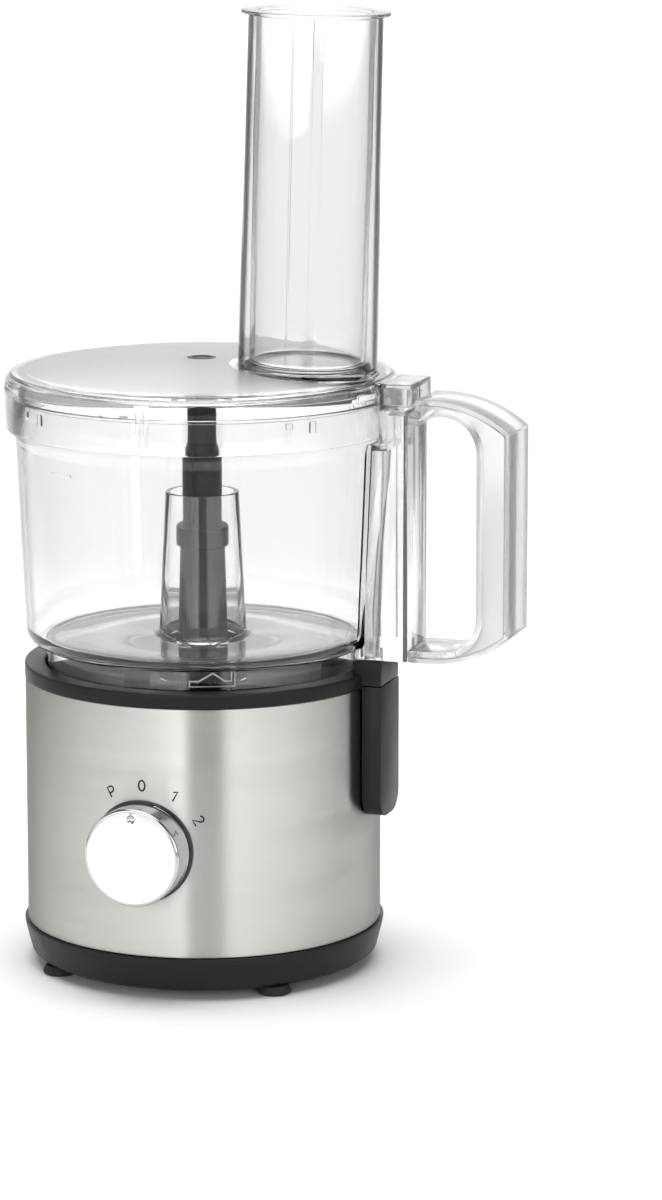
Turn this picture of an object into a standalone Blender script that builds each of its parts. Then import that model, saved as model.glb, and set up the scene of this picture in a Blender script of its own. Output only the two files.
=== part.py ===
"""A compact food processor: motor base, clear bowl with handle, lid with a feed tube, and pusher.

All lengths below are in millimetres; the helpers turn them into Blender's metres.
The origin is the centre of the motor base's flat underside, +Z is up, the control knob faces -Y
and the bowl's handle points to +X. The bowl, lid and drive axle turn about Z.
"""

import math

import bmesh
import bpy
from mathutils import Matrix, Vector

MM = 0.001
GAP = 0.3  # clearance between pieces that touch

# Motor base
BASE_R = 81.8  # black lower housing at its widest
SLEEVE_R = 80.3
SLEEVE_WALL = 1.0
SLEEVE_LOW = 15.8
SLEEVE_TOP = 127.9
COLLAR_R = 80.5
COLLAR_BORE_R = 71.2  # well that takes the bowl's skirt
COLLAR_TOP = 134.4
DECK_TOP = 114.0
DECK_LOW = 111.5
HOUSING_RIM = 15.5
PLATE_LOW = 21.8
PLATE_TOP = 24.8
FOOT_R = 8.0
FOOT_HEIGHT = 4.3
FOOT_RING_R = 72.0
SCREW_PLACES = [(62.0, 22.6), (-62.0, 22.6), (-62.0, -22.6), (62.0, -22.6)]
BOSS_R = 5.0

# Interlock pillar at +X
PILLAR_X = 88.5
PILLAR_HALF_Y = 13.6
PILLAR_LOW = 68.7
PILLAR_SEAM = 129.2
PILLAR_CAP_TOP = 140.6
PLUNGER_X = 83.6

# Drive train
MOTOR_Y = 42.0  # motor axis, behind the spindle
STATOR_HALF = 27.0
STATOR_LOW = 45.3
STATOR_TOP = 75.0
PULLEY_LOW = 9.0
PULLEY_TOP = 19.0
SPINDLE_PULLEY_R = 30.0
MOTOR_PULLEY_R = 6.0
BELT_THICK = 1.2
SPINDLE_R = 4.0
MOTOR_SHAFT_R = 3.0

# Control knob on the front
KNOB_Z = 63.7
KNOB_R = 22.0
KNOB_FACE_Y = -94.3
BEZEL_R = 23.0
BEZEL_FACE_Y = -82.0

# Bowl
SKIRT_R = 70.1
SKIRT_LOW = 116.5
BOWL_LOW = 143.1
BOWL_FLOOR = 145.9
BOWL_LOW_R = 79.4
BOWL_HIGH_R = 83.1
BOWL_HIGH = 234.0
BOWL_RIM = 256.0
BOWL_WALL = 2.3
CHIMNEY_TOP = 211.0
CHIMNEY_TOP_R = 16.5
CHIMNEY_LOW_R = 19.3

# Handle and its bracket at +X
BRACKET_X = 101.0
BRACKET_HALF_Y = 15.5
BRACKET_LOW = 141.7
BRACKET_TOP = 253.7
HANDLE_HALF_Y = 15.0
HANDLE_X = 147.6
HANDLE_LOW = 141.6
HANDLE_TOP = 259.2
HANDLE_SWEEP_R = 57.0  # the arms curve towards the grip's ends on this radius, from HANDLE_SWEEP_X out
HANDLE_SWEEP_X = 111.1
HANDLE_STEP_X = 104.4  # the lid's tab turns in front of this step
HANDLE_STEP_Z = 253.4
GRIP_X = 132.6
FINGER_LOW = 147.0
FINGER_TOP = 252.3
FINGER_R = 16.0
HAUNCH_Z = 247.6  # the upper arm is deeper than FINGER_TOP where it meets the bracket

# Lid and feed tube
LID_CENTRE = 271.3
LID_EDGE = 265.9
LID_EDGE_R = 84.8
LID_RING_R = 88.3
LID_SHOULDER = 258.7
LID_RING_LOW = 240.6
LID_WALL = 2.3
TAB_X = 102.5
TAB_HALF_Y = 15.0
TAB_LOW = 254.2
TUBE_X = 49.7
TUBE_LEAN = math.radians(1.53)
TUBE_FOOT = 262.0
TUBE_TOP = 424.0
TUBE_LOW_R = 31.0
TUBE_TOP_R = 29.6
TUBE_WALL = 2.3
PUSHER_LOW = 269.7
PUSHER_LOW_R = 26.0
PUSHER_TOP_R = 26.6
PUSHER_FLANGE_R = 32.85
PUSHER_FLANGE_TOP = 426.6

BIG, MEDIUM, SMALL = 40, 20, 10  # facets round a big, medium or small turned piece


# ---------------------------------------------------------------- materials and mesh helpers


def material(name, colour, roughness, metallic=0.0, alpha=1.0):
    """A Principled material; alpha under 1 is a clear plastic."""
    made = bpy.data.materials.new(name)
    made.use_nodes = True
    shader = made.node_tree.nodes["Principled BSDF"]
    shader.inputs["Base Color"].default_value = (*colour, 1.0)
    shader.inputs["Roughness"].default_value = roughness
    shader.inputs["Metallic"].default_value = metallic
    shader.inputs["Alpha"].default_value = alpha
    made.diffuse_color = (*colour, alpha)
    return made


def black_plastic(name):
    return material(name, (0.028, 0.029, 0.028), 0.42)


def clear_plastic(name):
    return material(name, (0.86, 0.88, 0.88), 0.06, alpha=0.35)


def steel(name):
    return material(name, (0.62, 0.61, 0.58), 0.30, metallic=1.0)


def copper(name):
    return material(name, (0.72, 0.33, 0.16), 0.35, metallic=1.0)


def rubber(name):
    return material(name, (0.03, 0.03, 0.03), 0.75)


def add_object(name, mesh_bm, made_material):
    """Turns a bmesh in millimetres into an object in metres, faces out."""
    bmesh.ops.remove_doubles(mesh_bm, verts=mesh_bm.verts, dist=1e-5)
    bmesh.ops.recalc_face_normals(mesh_bm, faces=mesh_bm.faces)
    bmesh.ops.scale(mesh_bm, vec=(MM, MM, MM), verts=mesh_bm.verts)
    mesh = bpy.data.meshes.new(name)
    mesh_bm.to_mesh(mesh)
    mesh_bm.free()
    mesh.shade_smooth()
    mesh.set_sharp_from_angle(angle=math.radians(35))
    mesh.materials.append(made_material)
    made = bpy.data.objects.new(name, mesh)
    bpy.context.scene.collection.objects.link(made)
    return made


def arc(centre, radius, start, end, steps=5):
    """Points on a circle from one angle to another, in degrees."""
    angles = [math.radians(start + (end - start) * i / steps) for i in range(steps + 1)]
    return [(centre[0] + radius * math.cos(a), centre[1] + radius * math.sin(a)) for a in angles]


def turned_bm(outline, facets, place=(0, 0, 0), along="Z"):
    """Spins a closed outline of (radius, height) points about an axis through place."""
    bm = bmesh.new()
    rings = []
    for radius, height in outline:
        count = 1 if radius < 1e-6 else facets
        angles = [2 * math.pi * k / facets for k in range(count)]
        rings.append([bm.verts.new((radius * math.cos(a), radius * math.sin(a), height)) for a in angles])
    for i, ring in enumerate(rings):
        after = rings[(i + 1) % len(rings)]
        if len(ring) == 1 and len(after) == 1:
            continue
        for k in range(facets):
            n = (k + 1) % facets
            corners = [ring[k % len(ring)], ring[n % len(ring)], after[n % len(after)], after[k % len(after)]]
            bm.faces.new(list(dict.fromkeys(corners)))
    if along == "Y":
        bmesh.ops.rotate(bm, matrix=Matrix.Rotation(math.radians(-90), 3, "X"), verts=bm.verts)
    bmesh.ops.translate(bm, vec=place, verts=bm.verts)
    return bm


def turned(name, outline, made_material, facets=MEDIUM, place=(0, 0, 0), along="Z"):
    return add_object(name, turned_bm(outline, facets, place, along), made_material)


def tube_outline(inner, outer, low, top):
    return [(inner, low), (outer, low), (outer, top), (inner, top)]


def rod_outline(radius, low, top, chamfer=0.5):
    return [(0, low), (radius - chamfer, low), (radius, low + chamfer), (radius, top - chamfer),
            (radius - chamfer, top), (0, top)]


def prism_bm(outline, low, top, plane="XY"):
    """Extrudes a closed outline between two levels of the axis that plane leaves out."""
    places = {"XY": lambda p, h: (p[0], p[1], h), "XZ": lambda p, h: (p[0], h, p[1]),
              "YZ": lambda p, h: (h, p[0], p[1])}
    put = places[plane]
    bm = bmesh.new()
    floor = [bm.verts.new(put(p, low)) for p in outline]
    roof = [bm.verts.new(put(p, top)) for p in outline]
    count = len(outline)
    for i in range(count):
        n = (i + 1) % count
        bm.faces.new((floor[i], floor[n], roof[n], roof[i]))
    bm.faces.new(floor)
    bm.faces.new(roof)
    return bm


def prism(name, outline, low, top, made_material, plane="XY"):
    return add_object(name, prism_bm(outline, low, top, plane), made_material)


def box_outline(x0, x1, y0, y1, round_by=0.0, steps=3):
    """A rectangle, with rounded corners where round_by is over zero."""
    if round_by <= 0:
        return [(x0, y0), (x1, y0), (x1, y1), (x0, y1)]
    r = round_by
    corners = [((x1 - r, y0 + r), -90), ((x1 - r, y1 - r), 0), ((x0 + r, y1 - r), 90), ((x0 + r, y0 + r), 180)]
    return [p for centre, start in corners for p in arc(centre, r, start, start + 90, steps)]


def block(name, low, high, made_material, round_by=0.0):
    outline = box_outline(low[0], high[0], low[1], high[1], round_by)
    return prism(name, outline, low[2], high[2], made_material)


def boolean(target, other, operation):
    """Adds a Boolean to target; other becomes a hidden guide."""
    other.hide_render = True
    other.display_type = "WIRE"
    step = target.modifiers.new(other.name, "BOOLEAN")
    step.operation = operation
    step.solver = "EXACT"
    step.object = other
    return target


def cut(target, *others):
    for other in others:
        boolean(target, other, "DIFFERENCE")
    return target


def join(target, *others):
    for other in others:
        boolean(target, other, "UNION")
    return target


def guide_block(name, low, high, round_by=0.0):
    return block(name, low, high, GUIDE, round_by)


def guide_turned(name, outline, facets=MEDIUM, place=(0, 0, 0), along="Z"):
    return turned(name, outline, GUIDE, facets, place, along)


def set_origin(piece, place):
    """Moves a piece's origin onto its joint's axis and leaves its shape where it is."""
    shift = Vector(place) * MM
    piece.data.transform(Matrix.Translation(-shift))
    piece.location = shift
    return piece


def leaned(piece):
    """Tips a piece about the feed tube's foot, along with the tube."""
    foot = Vector((TUBE_X, 0, TUBE_FOOT)) * MM
    turn = Matrix.Translation(foot) @ Matrix.Rotation(TUBE_LEAN, 4, "Y") @ Matrix.Translation(-foot)
    piece.data.transform(turn)
    return piece


# ---------------------------------------------------------------- motor base casing


def lower_housing():
    """Black tray with a raised rim inside the sleeve, screw bosses, vents and the cord's hole."""
    outline = [(0, 0), (30, 0), (30.8, 0.8), (63, 0.8), (63.8, 0), (76.3, 0), (78, 0.9), (79, 3), (80.3, 8),
               (81.4, 12.5), (BASE_R, HOUSING_RIM), (79, HOUSING_RIM), (79, 21.5), (77.2, 21.5), (76.4, 3.2),
               (0, 3.2)]
    housing = turned("lower_housing", outline, black_plastic("housing_black"), BIG)
    for i, (x, y) in enumerate(SCREW_PLACES):
        join(housing, guide_turned(f"floor_boss_{i}", rod_outline(5.6, 1.5, 8.0), SMALL, (x, y, 0)))
        head = [(0, -1), (4.0, -1), (4.0, 4.6), (1.9, 4.6), (1.9, 9), (0, 9)]
        cut(housing, guide_turned(f"screw_hole_{i}", head, SMALL, (x, y, 0)))
    for i, (x, y) in enumerate(foot_places()):
        cut(housing, guide_turned(f"foot_hole_{i}", rod_outline(2.8, -1, 9), SMALL, (x, y, 0)))
    for i in range(5):
        y = 36 + 5.0 * i
        cut(housing, guide_block(f"vent_{i}", (-18, y, -1), (18, y + 2.2, 5)))
    cut(housing, guide_turned("cord_hole", rod_outline(4.4, 70, 90), SMALL, (0, 0, 9), "Y"))
    return housing


def foot_places():
    angles = [math.radians(45 + 90 * i) for i in range(4)]
    return [(FOOT_RING_R * math.cos(a), FOOT_RING_R * math.sin(a)) for a in angles]


def feet():
    """Four rubber feet, each with a stem in the tray."""
    outline = [(0, -FOOT_HEIGHT), (6.8, -FOOT_HEIGHT), (FOOT_R, -2.8), (6.4, -GAP), (2.5, -GAP), (2.5, 4.6),
               (0, 4.6)]
    for i, (x, y) in enumerate(foot_places(), start=1):
        turned(f"foot_{i}", outline, rubber(f"foot_rubber_{i}"), 12, (x, y, 0))


def base_screws():
    """Four screws from below that pull the top housing onto the tray, with the sleeve between them."""
    outline = [(0, 2.0), (3.6, 2.0), (3.6, 4.3), (1.5, 4.3), (1.5, 20), (0, 20)]
    for i, (x, y) in enumerate(SCREW_PLACES, start=1):
        turned(f"base_screw_{i}", outline, steel(f"screw_steel_{i}"), 8, (x, y, 0))


def steel_sleeve():
    """Brushed steel band, with holes for the knob's shaft and the interlock switch."""
    outline = tube_outline(SLEEVE_R - SLEEVE_WALL, SLEEVE_R, SLEEVE_LOW, SLEEVE_TOP)
    sleeve = turned("steel_sleeve", outline, steel("sleeve_steel"), 48)
    cut(sleeve, guide_turned("shaft_window", rod_outline(4.5, -90, -70), SMALL, (0, 0, KNOB_Z), "Y"))
    cut(sleeve, guide_block("switch_window", (70, -7, 76), (90, 7, 98)))
    return sleeve


def pillar_plan(inset=0.0):
    """Rounded plan of the pillar: it runs in under the collar."""
    half = PILLAR_HALF_Y - inset
    far = PILLAR_X - inset
    r = 2.6
    return [(72.5, -half)] + arc((far - r, -half + r), r, -90, 0, 3) + arc((far - r, half - r), r, 0, 90, 3) + [
        (72.5, half)]


def top_housing():
    """Black collar with the bowl's well and deck, the pillar's cap and four long screw bosses."""
    outline = [(COLLAR_R, 128.2), (COLLAR_R, 133.2), (79.4, COLLAR_TOP), (72.2, COLLAR_TOP), (COLLAR_BORE_R, 133.4),
               (COLLAR_BORE_R, DECK_TOP), (13, DECK_TOP), (13, DECK_LOW), (73.2, DECK_LOW), (73.2, 126.2),
               (77.2, 126.2), (77.2, 119), (79, 119), (79, 128.2)]
    housing = turned("top_housing", outline, black_plastic("collar_black"), BIG)
    cap = prism("pillar_cap", pillar_plan(), PILLAR_SEAM, PILLAR_CAP_TOP, GUIDE)
    cut(cap, guide_turned("cap_well", rod_outline(76.5, 125, 145), BIG))
    join(housing, cap)
    for i, (x, y) in enumerate(SCREW_PLACES):
        join(housing, guide_turned(f"boss_{i}", rod_outline(BOSS_R, 8.3, 112.5), SMALL, (x, y, 0)))
        cut(housing, guide_turned(f"boss_bore_{i}", rod_outline(1.8, 4, 22), 12, (x, y, 0)))
    cut(housing, guide_turned("plunger_hole", rod_outline(2.4, 100, 150), 12, (PLUNGER_X, 0, 0)))
    return housing


def pillar_cover():
    """Black channel on the sleeve below the cap, rounded in at its foot."""
    r = 8.0
    side = [(76, PILLAR_LOW)] + arc((PILLAR_X - r, PILLAR_LOW + r), r, -90, 0, 5) + [
        (PILLAR_X, PILLAR_SEAM - GAP), (76, PILLAR_SEAM - GAP)]
    cover = prism("pillar_cover", side, -PILLAR_HALF_Y, PILLAR_HALF_Y, black_plastic("pillar_black"), "XZ")
    boolean(cover, prism("pillar_round", pillar_plan(), 60, 140, GUIDE), "INTERSECT")
    cut(cover, prism("pillar_hollow", pillar_plan(2.0), PILLAR_LOW + 4, 150, GUIDE))
    cut(cover, guide_turned("sleeve_seat", rod_outline(SLEEVE_R + 2 * GAP, 50, 150), 48))
    return cover


def cord_gland():
    """Rear bush of the mains lead's inlet."""
    outline = [(3.1, 72), (4.1, 72), (4.1, 82.2), (6.4, 82.2), (6.4, 84.6), (5.2, 89), (3.1, 89)]
    return turned("cord_gland", outline, rubber("gland_rubber"), 20, (0, 0, 9), "Y")


# ---------------------------------------------------------------- drive train


def motor_plate():
    """Round steel plate that carries the motor, the spindle's housing and the switch."""
    plate = turned("motor_plate", [(0, PLATE_LOW), (78.4, PLATE_LOW), (78.4, PLATE_TOP), (0, PLATE_TOP)],
                   steel("plate_steel"), BIG)
    cut(plate, guide_turned("spindle_pass", rod_outline(6, 10, 30), SMALL))
    cut(plate, guide_turned("motor_pass", rod_outline(5, 10, 30), SMALL, (0, MOTOR_Y, 0)))
    for i, (x, y) in enumerate(SCREW_PLACES):
        cut(plate, guide_turned(f"boss_pass_{i}", rod_outline(BOSS_R + 0.5, 10, 30), SMALL, (x, y, 0)))
    return plate


def spindle_housing():
    """Flanged tube that holds the spindle's two bearings."""
    outline = [(6, PLATE_TOP + GAP), (14.5, PLATE_TOP + GAP), (14.5, 28), (12, 28), (12, 113), (9.5, 113), (9.5, 99),
               (6, 99), (6, 36.5), (9.5, 36.5), (9.5, 27), (6, 27)]
    return turned("spindle_housing", outline, material("cast_grey", (0.45, 0.46, 0.46), 0.5, 1.0), 16)


def bearing(name, inner, outer, low, top, place=(0, 0, 0)):
    return turned(name, tube_outline(inner, outer, low, top), material(name + "_bronze", (0.62, 0.45, 0.22), 0.4, 1.0),
                  12, place)


def spindle_parts():
    """Vertical spindle in its bearings, with its pulley and the hexagon that drives the axle."""
    bearing("spindle_bearing_lower", SPINDLE_R + GAP, 9.0, 27.4, 36.2)
    bearing("spindle_bearing_upper", SPINDLE_R + GAP, 9.0, 99.3, 109)
    set_origin(turned("drive_spindle", rod_outline(SPINDLE_R, 6.0, 199, 0.8), steel("spindle_steel"), 12), (0, 0, 6))
    r = SPINDLE_PULLEY_R
    outline = [(SPINDLE_R + GAP, PULLEY_LOW), (9, PULLEY_LOW), (9, 12.5), (r - 4, 12.5), (r - 4, PULLEY_LOW),
               (r, PULLEY_LOW), (r, PULLEY_TOP), (r - 4, PULLEY_TOP), (r - 4, 15), (9, 15), (9, 20.5),
               (SPINDLE_R + GAP, 20.5)]
    turned("spindle_pulley", outline, black_plastic("pulley_black"), 24)
    hexagon = [(9.4 * math.cos(a), 9.4 * math.sin(a)) for a in (math.radians(60 * i) for i in range(6))]
    coupling = prism("drive_coupling", hexagon, 115.4, 123.8, material("coupling_grey", (0.3, 0.3, 0.3), 0.5))
    cut(coupling, guide_turned("coupling_bore", rod_outline(SPINDLE_R + GAP, 100, 140), 12))


def drive_axle():
    """Dark grey axle that slips over the spindle, fills the bowl's chimney and ends in a pin under the lid."""
    outline = [(0, 268.4), (2.6, 268.4), (3.0, 268), (3.0, 262.5), (5.8, 262.5), (6.45, 261.6), (6.45, 235),
               (7.5, 234), (7.5, 228), (8.9, 227), (8.9, 194.6), (11.4, 194.6), (12, 193.8), (12, 186.6),
               (11.2, 186), (10.15, 185.4), (11.25, 146), (11.9, 125), (11.9, 116.2), (0, 116.2)]
    axle = turned("drive_axle", outline, material("axle_grey", (0.035, 0.037, 0.037), 0.4), 20)
    cut(axle, guide_turned("axle_bore", rod_outline(SPINDLE_R + 2 * GAP, 100, 200), 12))
    socket = [(10 * math.cos(a), 10 * math.sin(a)) for a in (math.radians(60 * i) for i in range(6))]
    cut(axle, prism("axle_socket", socket, 110, 124.3, GUIDE))
    for side in (-1, 1):
        low, high = sorted((side * 5.2, side * 14.0))
        cut(axle, guide_block(f"axle_groove_{side}", (-1.9, low, 196), (1.9, high, 256)))
    return axle


def belt_loop(big, small, centre_y):
    """Outline of an open belt round a pulley at the origin and one at (0, centre_y)."""
    lean = math.degrees(math.asin((big - small) / centre_y))
    over_big = arc((0, 0), big, 180 - lean, 360 + lean, 14)
    over_small = arc((0, centre_y), small, lean, 180 - lean, 6)
    return over_big + over_small


def drive_belt():
    """Flat ribbed belt round both pulleys."""
    outer = belt_loop(SPINDLE_PULLEY_R + 2 * GAP + BELT_THICK, MOTOR_PULLEY_R + 2 * GAP + BELT_THICK, MOTOR_Y)
    inner = belt_loop(SPINDLE_PULLEY_R + 2 * GAP, MOTOR_PULLEY_R + 2 * GAP, MOTOR_Y)
    belt = prism("drive_belt", outer, PULLEY_LOW + 0.6, PULLEY_TOP - 0.6, rubber("belt_rubber"))
    return cut(belt, prism("belt_inside", inner, 0, 30, GUIDE))


def toothed_outline(outer, inner, teeth, share=0.6):
    """Plan of a wheel with straight teeth, share of each pitch being tooth."""
    points = []
    pitch = 2 * math.pi / teeth
    for i in range(teeth):
        middle = i * pitch
        for radius, offset in ((inner, -0.5 * share), (outer, -0.5 * share), (outer, 0.5 * share),
                               (inner, 0.5 * share)):
            angle = middle + offset * pitch
            points.append((radius * math.cos(angle), MOTOR_Y + radius * math.sin(angle)))
    return points


def rotor_parts():
    """Armature on its shaft: core, windings, commutator, fan and pulley."""
    place = (0, MOTOR_Y, 0)
    bore = MOTOR_SHAFT_R + GAP
    set_origin(turned("rotor_shaft", rod_outline(MOTOR_SHAFT_R, 7.5, 109.5), steel("shaft_steel"), 16, place),
               (0, MOTOR_Y, 7.5))
    core = prism("armature_core", toothed_outline(17, 12.5, 12, 0.72), 47, 73, steel("core_steel"))
    cut(core, guide_turned("core_bore", rod_outline(bore, 40, 80), 16, place))
    for name, low, high in (("armature_winding_lower", 40.5, 46.6), ("armature_winding_upper", 73.4, 79.5)):
        outline = [(5, low), (10.5, low), (14.2, (low + high) / 2), (10.5, high), (5, high)]
        turned(name, outline, copper(name + "_copper"), 16, place)
    commutator = [(bore, 81), (10, 81), (10, 90.5), (bore, 90.5)]
    turned("commutator", commutator, copper("commutator_copper"), 16, place)
    fan = turned("cooling_fan", tube_outline(bore, 24, 101.5, 102.8), black_plastic("fan_black"), 24, place)
    blades = prism("fan_blades", toothed_outline(23.5, 7, 8, 0.12), 102.2, 108.6, GUIDE)
    cut(blades, guide_turned("fan_bore", rod_outline(bore, 90, 115), 16, place))
    join(fan, blades)
    r = MOTOR_PULLEY_R
    outline = [(bore, 8), (7.0, 8), (7.0, 8.9), (r, 8.9), (r, 19.1), (7.0, 19.1), (7.0, 20), (bore, 20)]
    turned("motor_pulley", outline, steel("pulley_steel"), 12, place)


def motor_stator():
    """Square lamination stack with a bore for the armature and four winding pockets."""
    c = 6.0
    h = STATOR_HALF
    plan = [(-h + c, -h), (h - c, -h), (h, -h + c), (h, h - c), (h - c, h), (-h + c, h), (-h, h - c), (-h, -h + c)]
    plan = [(x, y + MOTOR_Y) for x, y in plan]
    stator = prism("motor_stator", plan, STATOR_LOW, STATOR_TOP, steel("lamination_steel"))
    cut(stator, guide_turned("stator_bore", rod_outline(18, 30, 90), MEDIUM, (0, MOTOR_Y, 0)))
    for sx in (-1, 1):
        for sy in (-1, 1):
            name = f"pocket_{sx}_{sy}"
            cut(stator, guide_turned(name, rod_outline(4.4, 30, 90), SMALL, (sx * 12.4, MOTOR_Y + sy * 17.6, 0)))
    return stator


def field_coil(name, side):
    """Copper coil round one pole: up through one pocket, over the stack and down the other."""
    low, top = STATOR_LOW - 3.2, STATOR_TOP + 3.2
    straight = [(12.4, -17.6, z) for z in (low + 2.4, top - 2.4)]
    over = [(13.6, -16.9, top - 0.6), (18.6, -10.0, top), (20.8, 0, top + 0.4), (18.6, 10.0, top),
            (13.6, 16.9, top - 0.6)]
    back = [(x, -y, z) for x, y, z in reversed(straight)]
    under = [(x, -y, low + top - z) for x, y, z in over]
    route = straight + over + back + under
    curve = bpy.data.curves.new(name, "CURVE")
    curve.dimensions = "3D"
    curve.bevel_depth = 2.9 * MM
    curve.bevel_resolution = 1
    line = curve.splines.new("POLY")
    line.points.add(len(route) - 1)
    for point, (x, y, z) in zip(line.points, route):
        point.co = (side * x * MM, (y + MOTOR_Y) * MM, z * MM, 1)
    line.use_cyclic_u = True
    curve.materials.append(copper(name + "_copper"))
    made = bpy.data.objects.new(name, curve)
    bpy.context.scene.collection.objects.link(made)
    return made


def motor_bracket(name, bar_low, bar_top, leg_low, leg_top, boss_low, boss_top):
    """Bar over one end of the stator, with a leg at each end and a bearing boss in the middle."""
    grey = material(name + "_grey", (0.4, 0.41, 0.42), 0.45, 1.0)
    reach = STATOR_HALF - 0.5
    bracket = block(name, (-9, MOTOR_Y - reach, bar_low), (9, MOTOR_Y + reach, bar_top), grey)
    for side in (-1, 1):
        low_y, high_y = sorted((MOTOR_Y + side * reach, MOTOR_Y + side * (reach - 3)))
        join(bracket, guide_block(f"{name}_leg_{side}", (-8.5, low_y, leg_low), (8.5, high_y, leg_top)))
    place = (0, MOTOR_Y, 0)
    join(bracket, guide_turned(name + "_boss", rod_outline(10.4, boss_low, boss_top), 16, place))
    cut(bracket, guide_turned(name + "_pocket", rod_outline(8.4, boss_low - 3, boss_top + 3), 16, place))
    return bracket


def motor_parts():
    motor_stator()
    field_coil("field_coil_left", -1)
    field_coil("field_coil_right", 1)
    motor_bracket("motor_bracket_lower", 25.1, 28.1, 26, STATOR_LOW - GAP, 25.1, 35.2)
    motor_bracket("motor_bracket_upper", 95, 98, STATOR_TOP + GAP, 97, 91.6, 99.2)
    place = (0, MOTOR_Y, 0)
    bearing("motor_bearing_lower", MOTOR_SHAFT_R + GAP, 8.0, 27, 34.8, place)
    bearing("motor_bearing_upper", MOTOR_SHAFT_R + GAP, 8.0, 92, 98.8, place)
    for side, label in ((-1, "left"), (1, "right")):
        near, far = sorted((side * 12.0, side * 25.0))
        holder = block(f"brush_holder_{label}", (near, MOTOR_Y - 5, 82), (far, MOTOR_Y + 5, 90.5),
                       material(f"brass_{label}", (0.7, 0.52, 0.22), 0.35, 1.0))
        low_x, high_x = sorted((side * 24.6, side * 26.6))
        join(holder, guide_block(f"holder_leg_{label}", (low_x, MOTOR_Y - 4, STATOR_TOP + GAP),
                                 (high_x, MOTOR_Y + 4, 89)))
        a, b = sorted((side * 8.0, side * 30.0))
        cut(holder, guide_block(f"holder_bore_{label}", (a, MOTOR_Y - 3.4, 83.4), (b, MOTOR_Y + 3.4, 89.2)))
        a, b = sorted((side * 10.4, side * 22.0))
        block(f"carbon_brush_{label}", (a, MOTOR_Y - 3.0, 83.8), (b, MOTOR_Y + 3.0, 88.8),
              material(f"carbon_{label}", (0.03, 0.03, 0.03), 0.6))


# ---------------------------------------------------------------- controls


def knob_parts():
    """Bright turning knob with a dimple for a pointer, its shaft, black bezel and rotary switch."""
    centre = (0, 0, KNOB_Z)
    face, back, r = KNOB_FACE_Y, BEZEL_FACE_Y - GAP, KNOB_R
    outline = [(0, face)] + arc((r - 1.6, face + 1.6), 1.6, -90, 0, 3) + [
        (r, back), (19.6, back), (19.6, back - 9.0), (7, back - 9.0), (7, back), (3.3, back), (3.3, face + 4),
        (0, face + 4)]
    knob = turned("knob", outline, material("knob_chrome", (0.85, 0.86, 0.87), 0.08, 1.0), 32, centre, "Y")
    dimple = guide_turned("dimple", arc((0, 0), 1.9, -90, 90, 4), 10, (0, face - 0.7, KNOB_Z + 17.4), "Y")
    cut(knob, dimple)
    set_origin(knob, centre)
    shaft = turned("knob_shaft", rod_outline(3.0, face + 4.4, -56), steel("knob_shaft_steel"), 12, centre, "Y")
    set_origin(shaft, centre)
    bezel = turned("knob_bezel", [(4.5, BEZEL_FACE_Y), (BEZEL_R - 0.6, BEZEL_FACE_Y), (BEZEL_R, BEZEL_FACE_Y + 0.6),
                                  (BEZEL_R, -74), (4.5, -74)],
                   black_plastic("bezel_black"), 32, centre, "Y")
    cut(bezel, guide_turned("bezel_seat", rod_outline(SLEEVE_R + 2 * GAP, 20, 110), 48))
    bracket = block("switch_bracket", (-17, -66.4, PLATE_TOP + GAP), (17, -64.6, 82), steel("bracket_steel"))
    join(bracket, guide_block("bracket_foot", (-17, -65.5, PLATE_TOP + GAP), (17, -50, 26.6)))
    cut(bracket, guide_turned("bracket_hole", rod_outline(4.5, -75, -60), SMALL, centre, "Y"))
    switch = block("rotary_switch", (-14, -64.3, KNOB_Z - 14), (14, -46, KNOB_Z + 14),
                   material("switch_grey", (0.16, 0.16, 0.17), 0.5), 2.0)
    cut(switch, guide_turned("switch_bore", rod_outline(3.3, -70, -55), SMALL, centre, "Y"))


def interlock_parts():
    """Safety switch in the pillar, and the sprung plunger that the bowl's rod pushes onto it."""
    block("interlock_switch", (66, -5, 80), (86, 5, 94), material("interlock_grey", (0.12, 0.12, 0.13), 0.5), 0.8)
    outline = [(0, 94.8), (1.2, 94.8), (1.2, 112), (2.5, 112), (2.5, 114), (2.0, 114), (2.0, 139.8), (1.4, 140.4),
               (0, 140.4)]
    plunger = turned("interlock_plunger", outline, material("plunger_white", (0.75, 0.75, 0.74), 0.4), 12,
                     (PLUNGER_X, 0, 0))
    set_origin(plunger, (PLUNGER_X, 0, 94.8))
    helix("plunger_spring", PLUNGER_X, 94.7, 111.4, 2.0, 0.35, 6)


def helix(name, x, low, top, radius, wire, turns):
    """Compression spring: a wire on a helix about the vertical line at x."""
    steps = 8 * turns
    curve = bpy.data.curves.new(name, "CURVE")
    curve.dimensions = "3D"
    curve.bevel_depth = wire * MM
    curve.bevel_resolution = 0
    curve.use_fill_caps = True
    line = curve.splines.new("POLY")
    line.points.add(steps)
    for i, point in enumerate(line.points):
        angle = 2 * math.pi * turns * i / steps
        height = low + wire + (top - low - 2 * wire) * i / steps
        point.co = ((x + radius * math.cos(angle)) * MM, radius * math.sin(angle) * MM, height * MM, 1)
    curve.materials.append(steel(name + "_steel"))
    made = bpy.data.objects.new(name, curve)
    bpy.context.scene.collection.objects.link(made)
    return made


# ---------------------------------------------------------------- bowl and handle


def bowl_wall_r(height):
    """Outer radius of the bowl's straight wall at a height."""
    share = (height - BOWL_FLOOR) / (BOWL_HIGH - BOWL_FLOOR)
    return BOWL_LOW_R + (BOWL_HIGH_R - BOWL_LOW_R) * share


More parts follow.
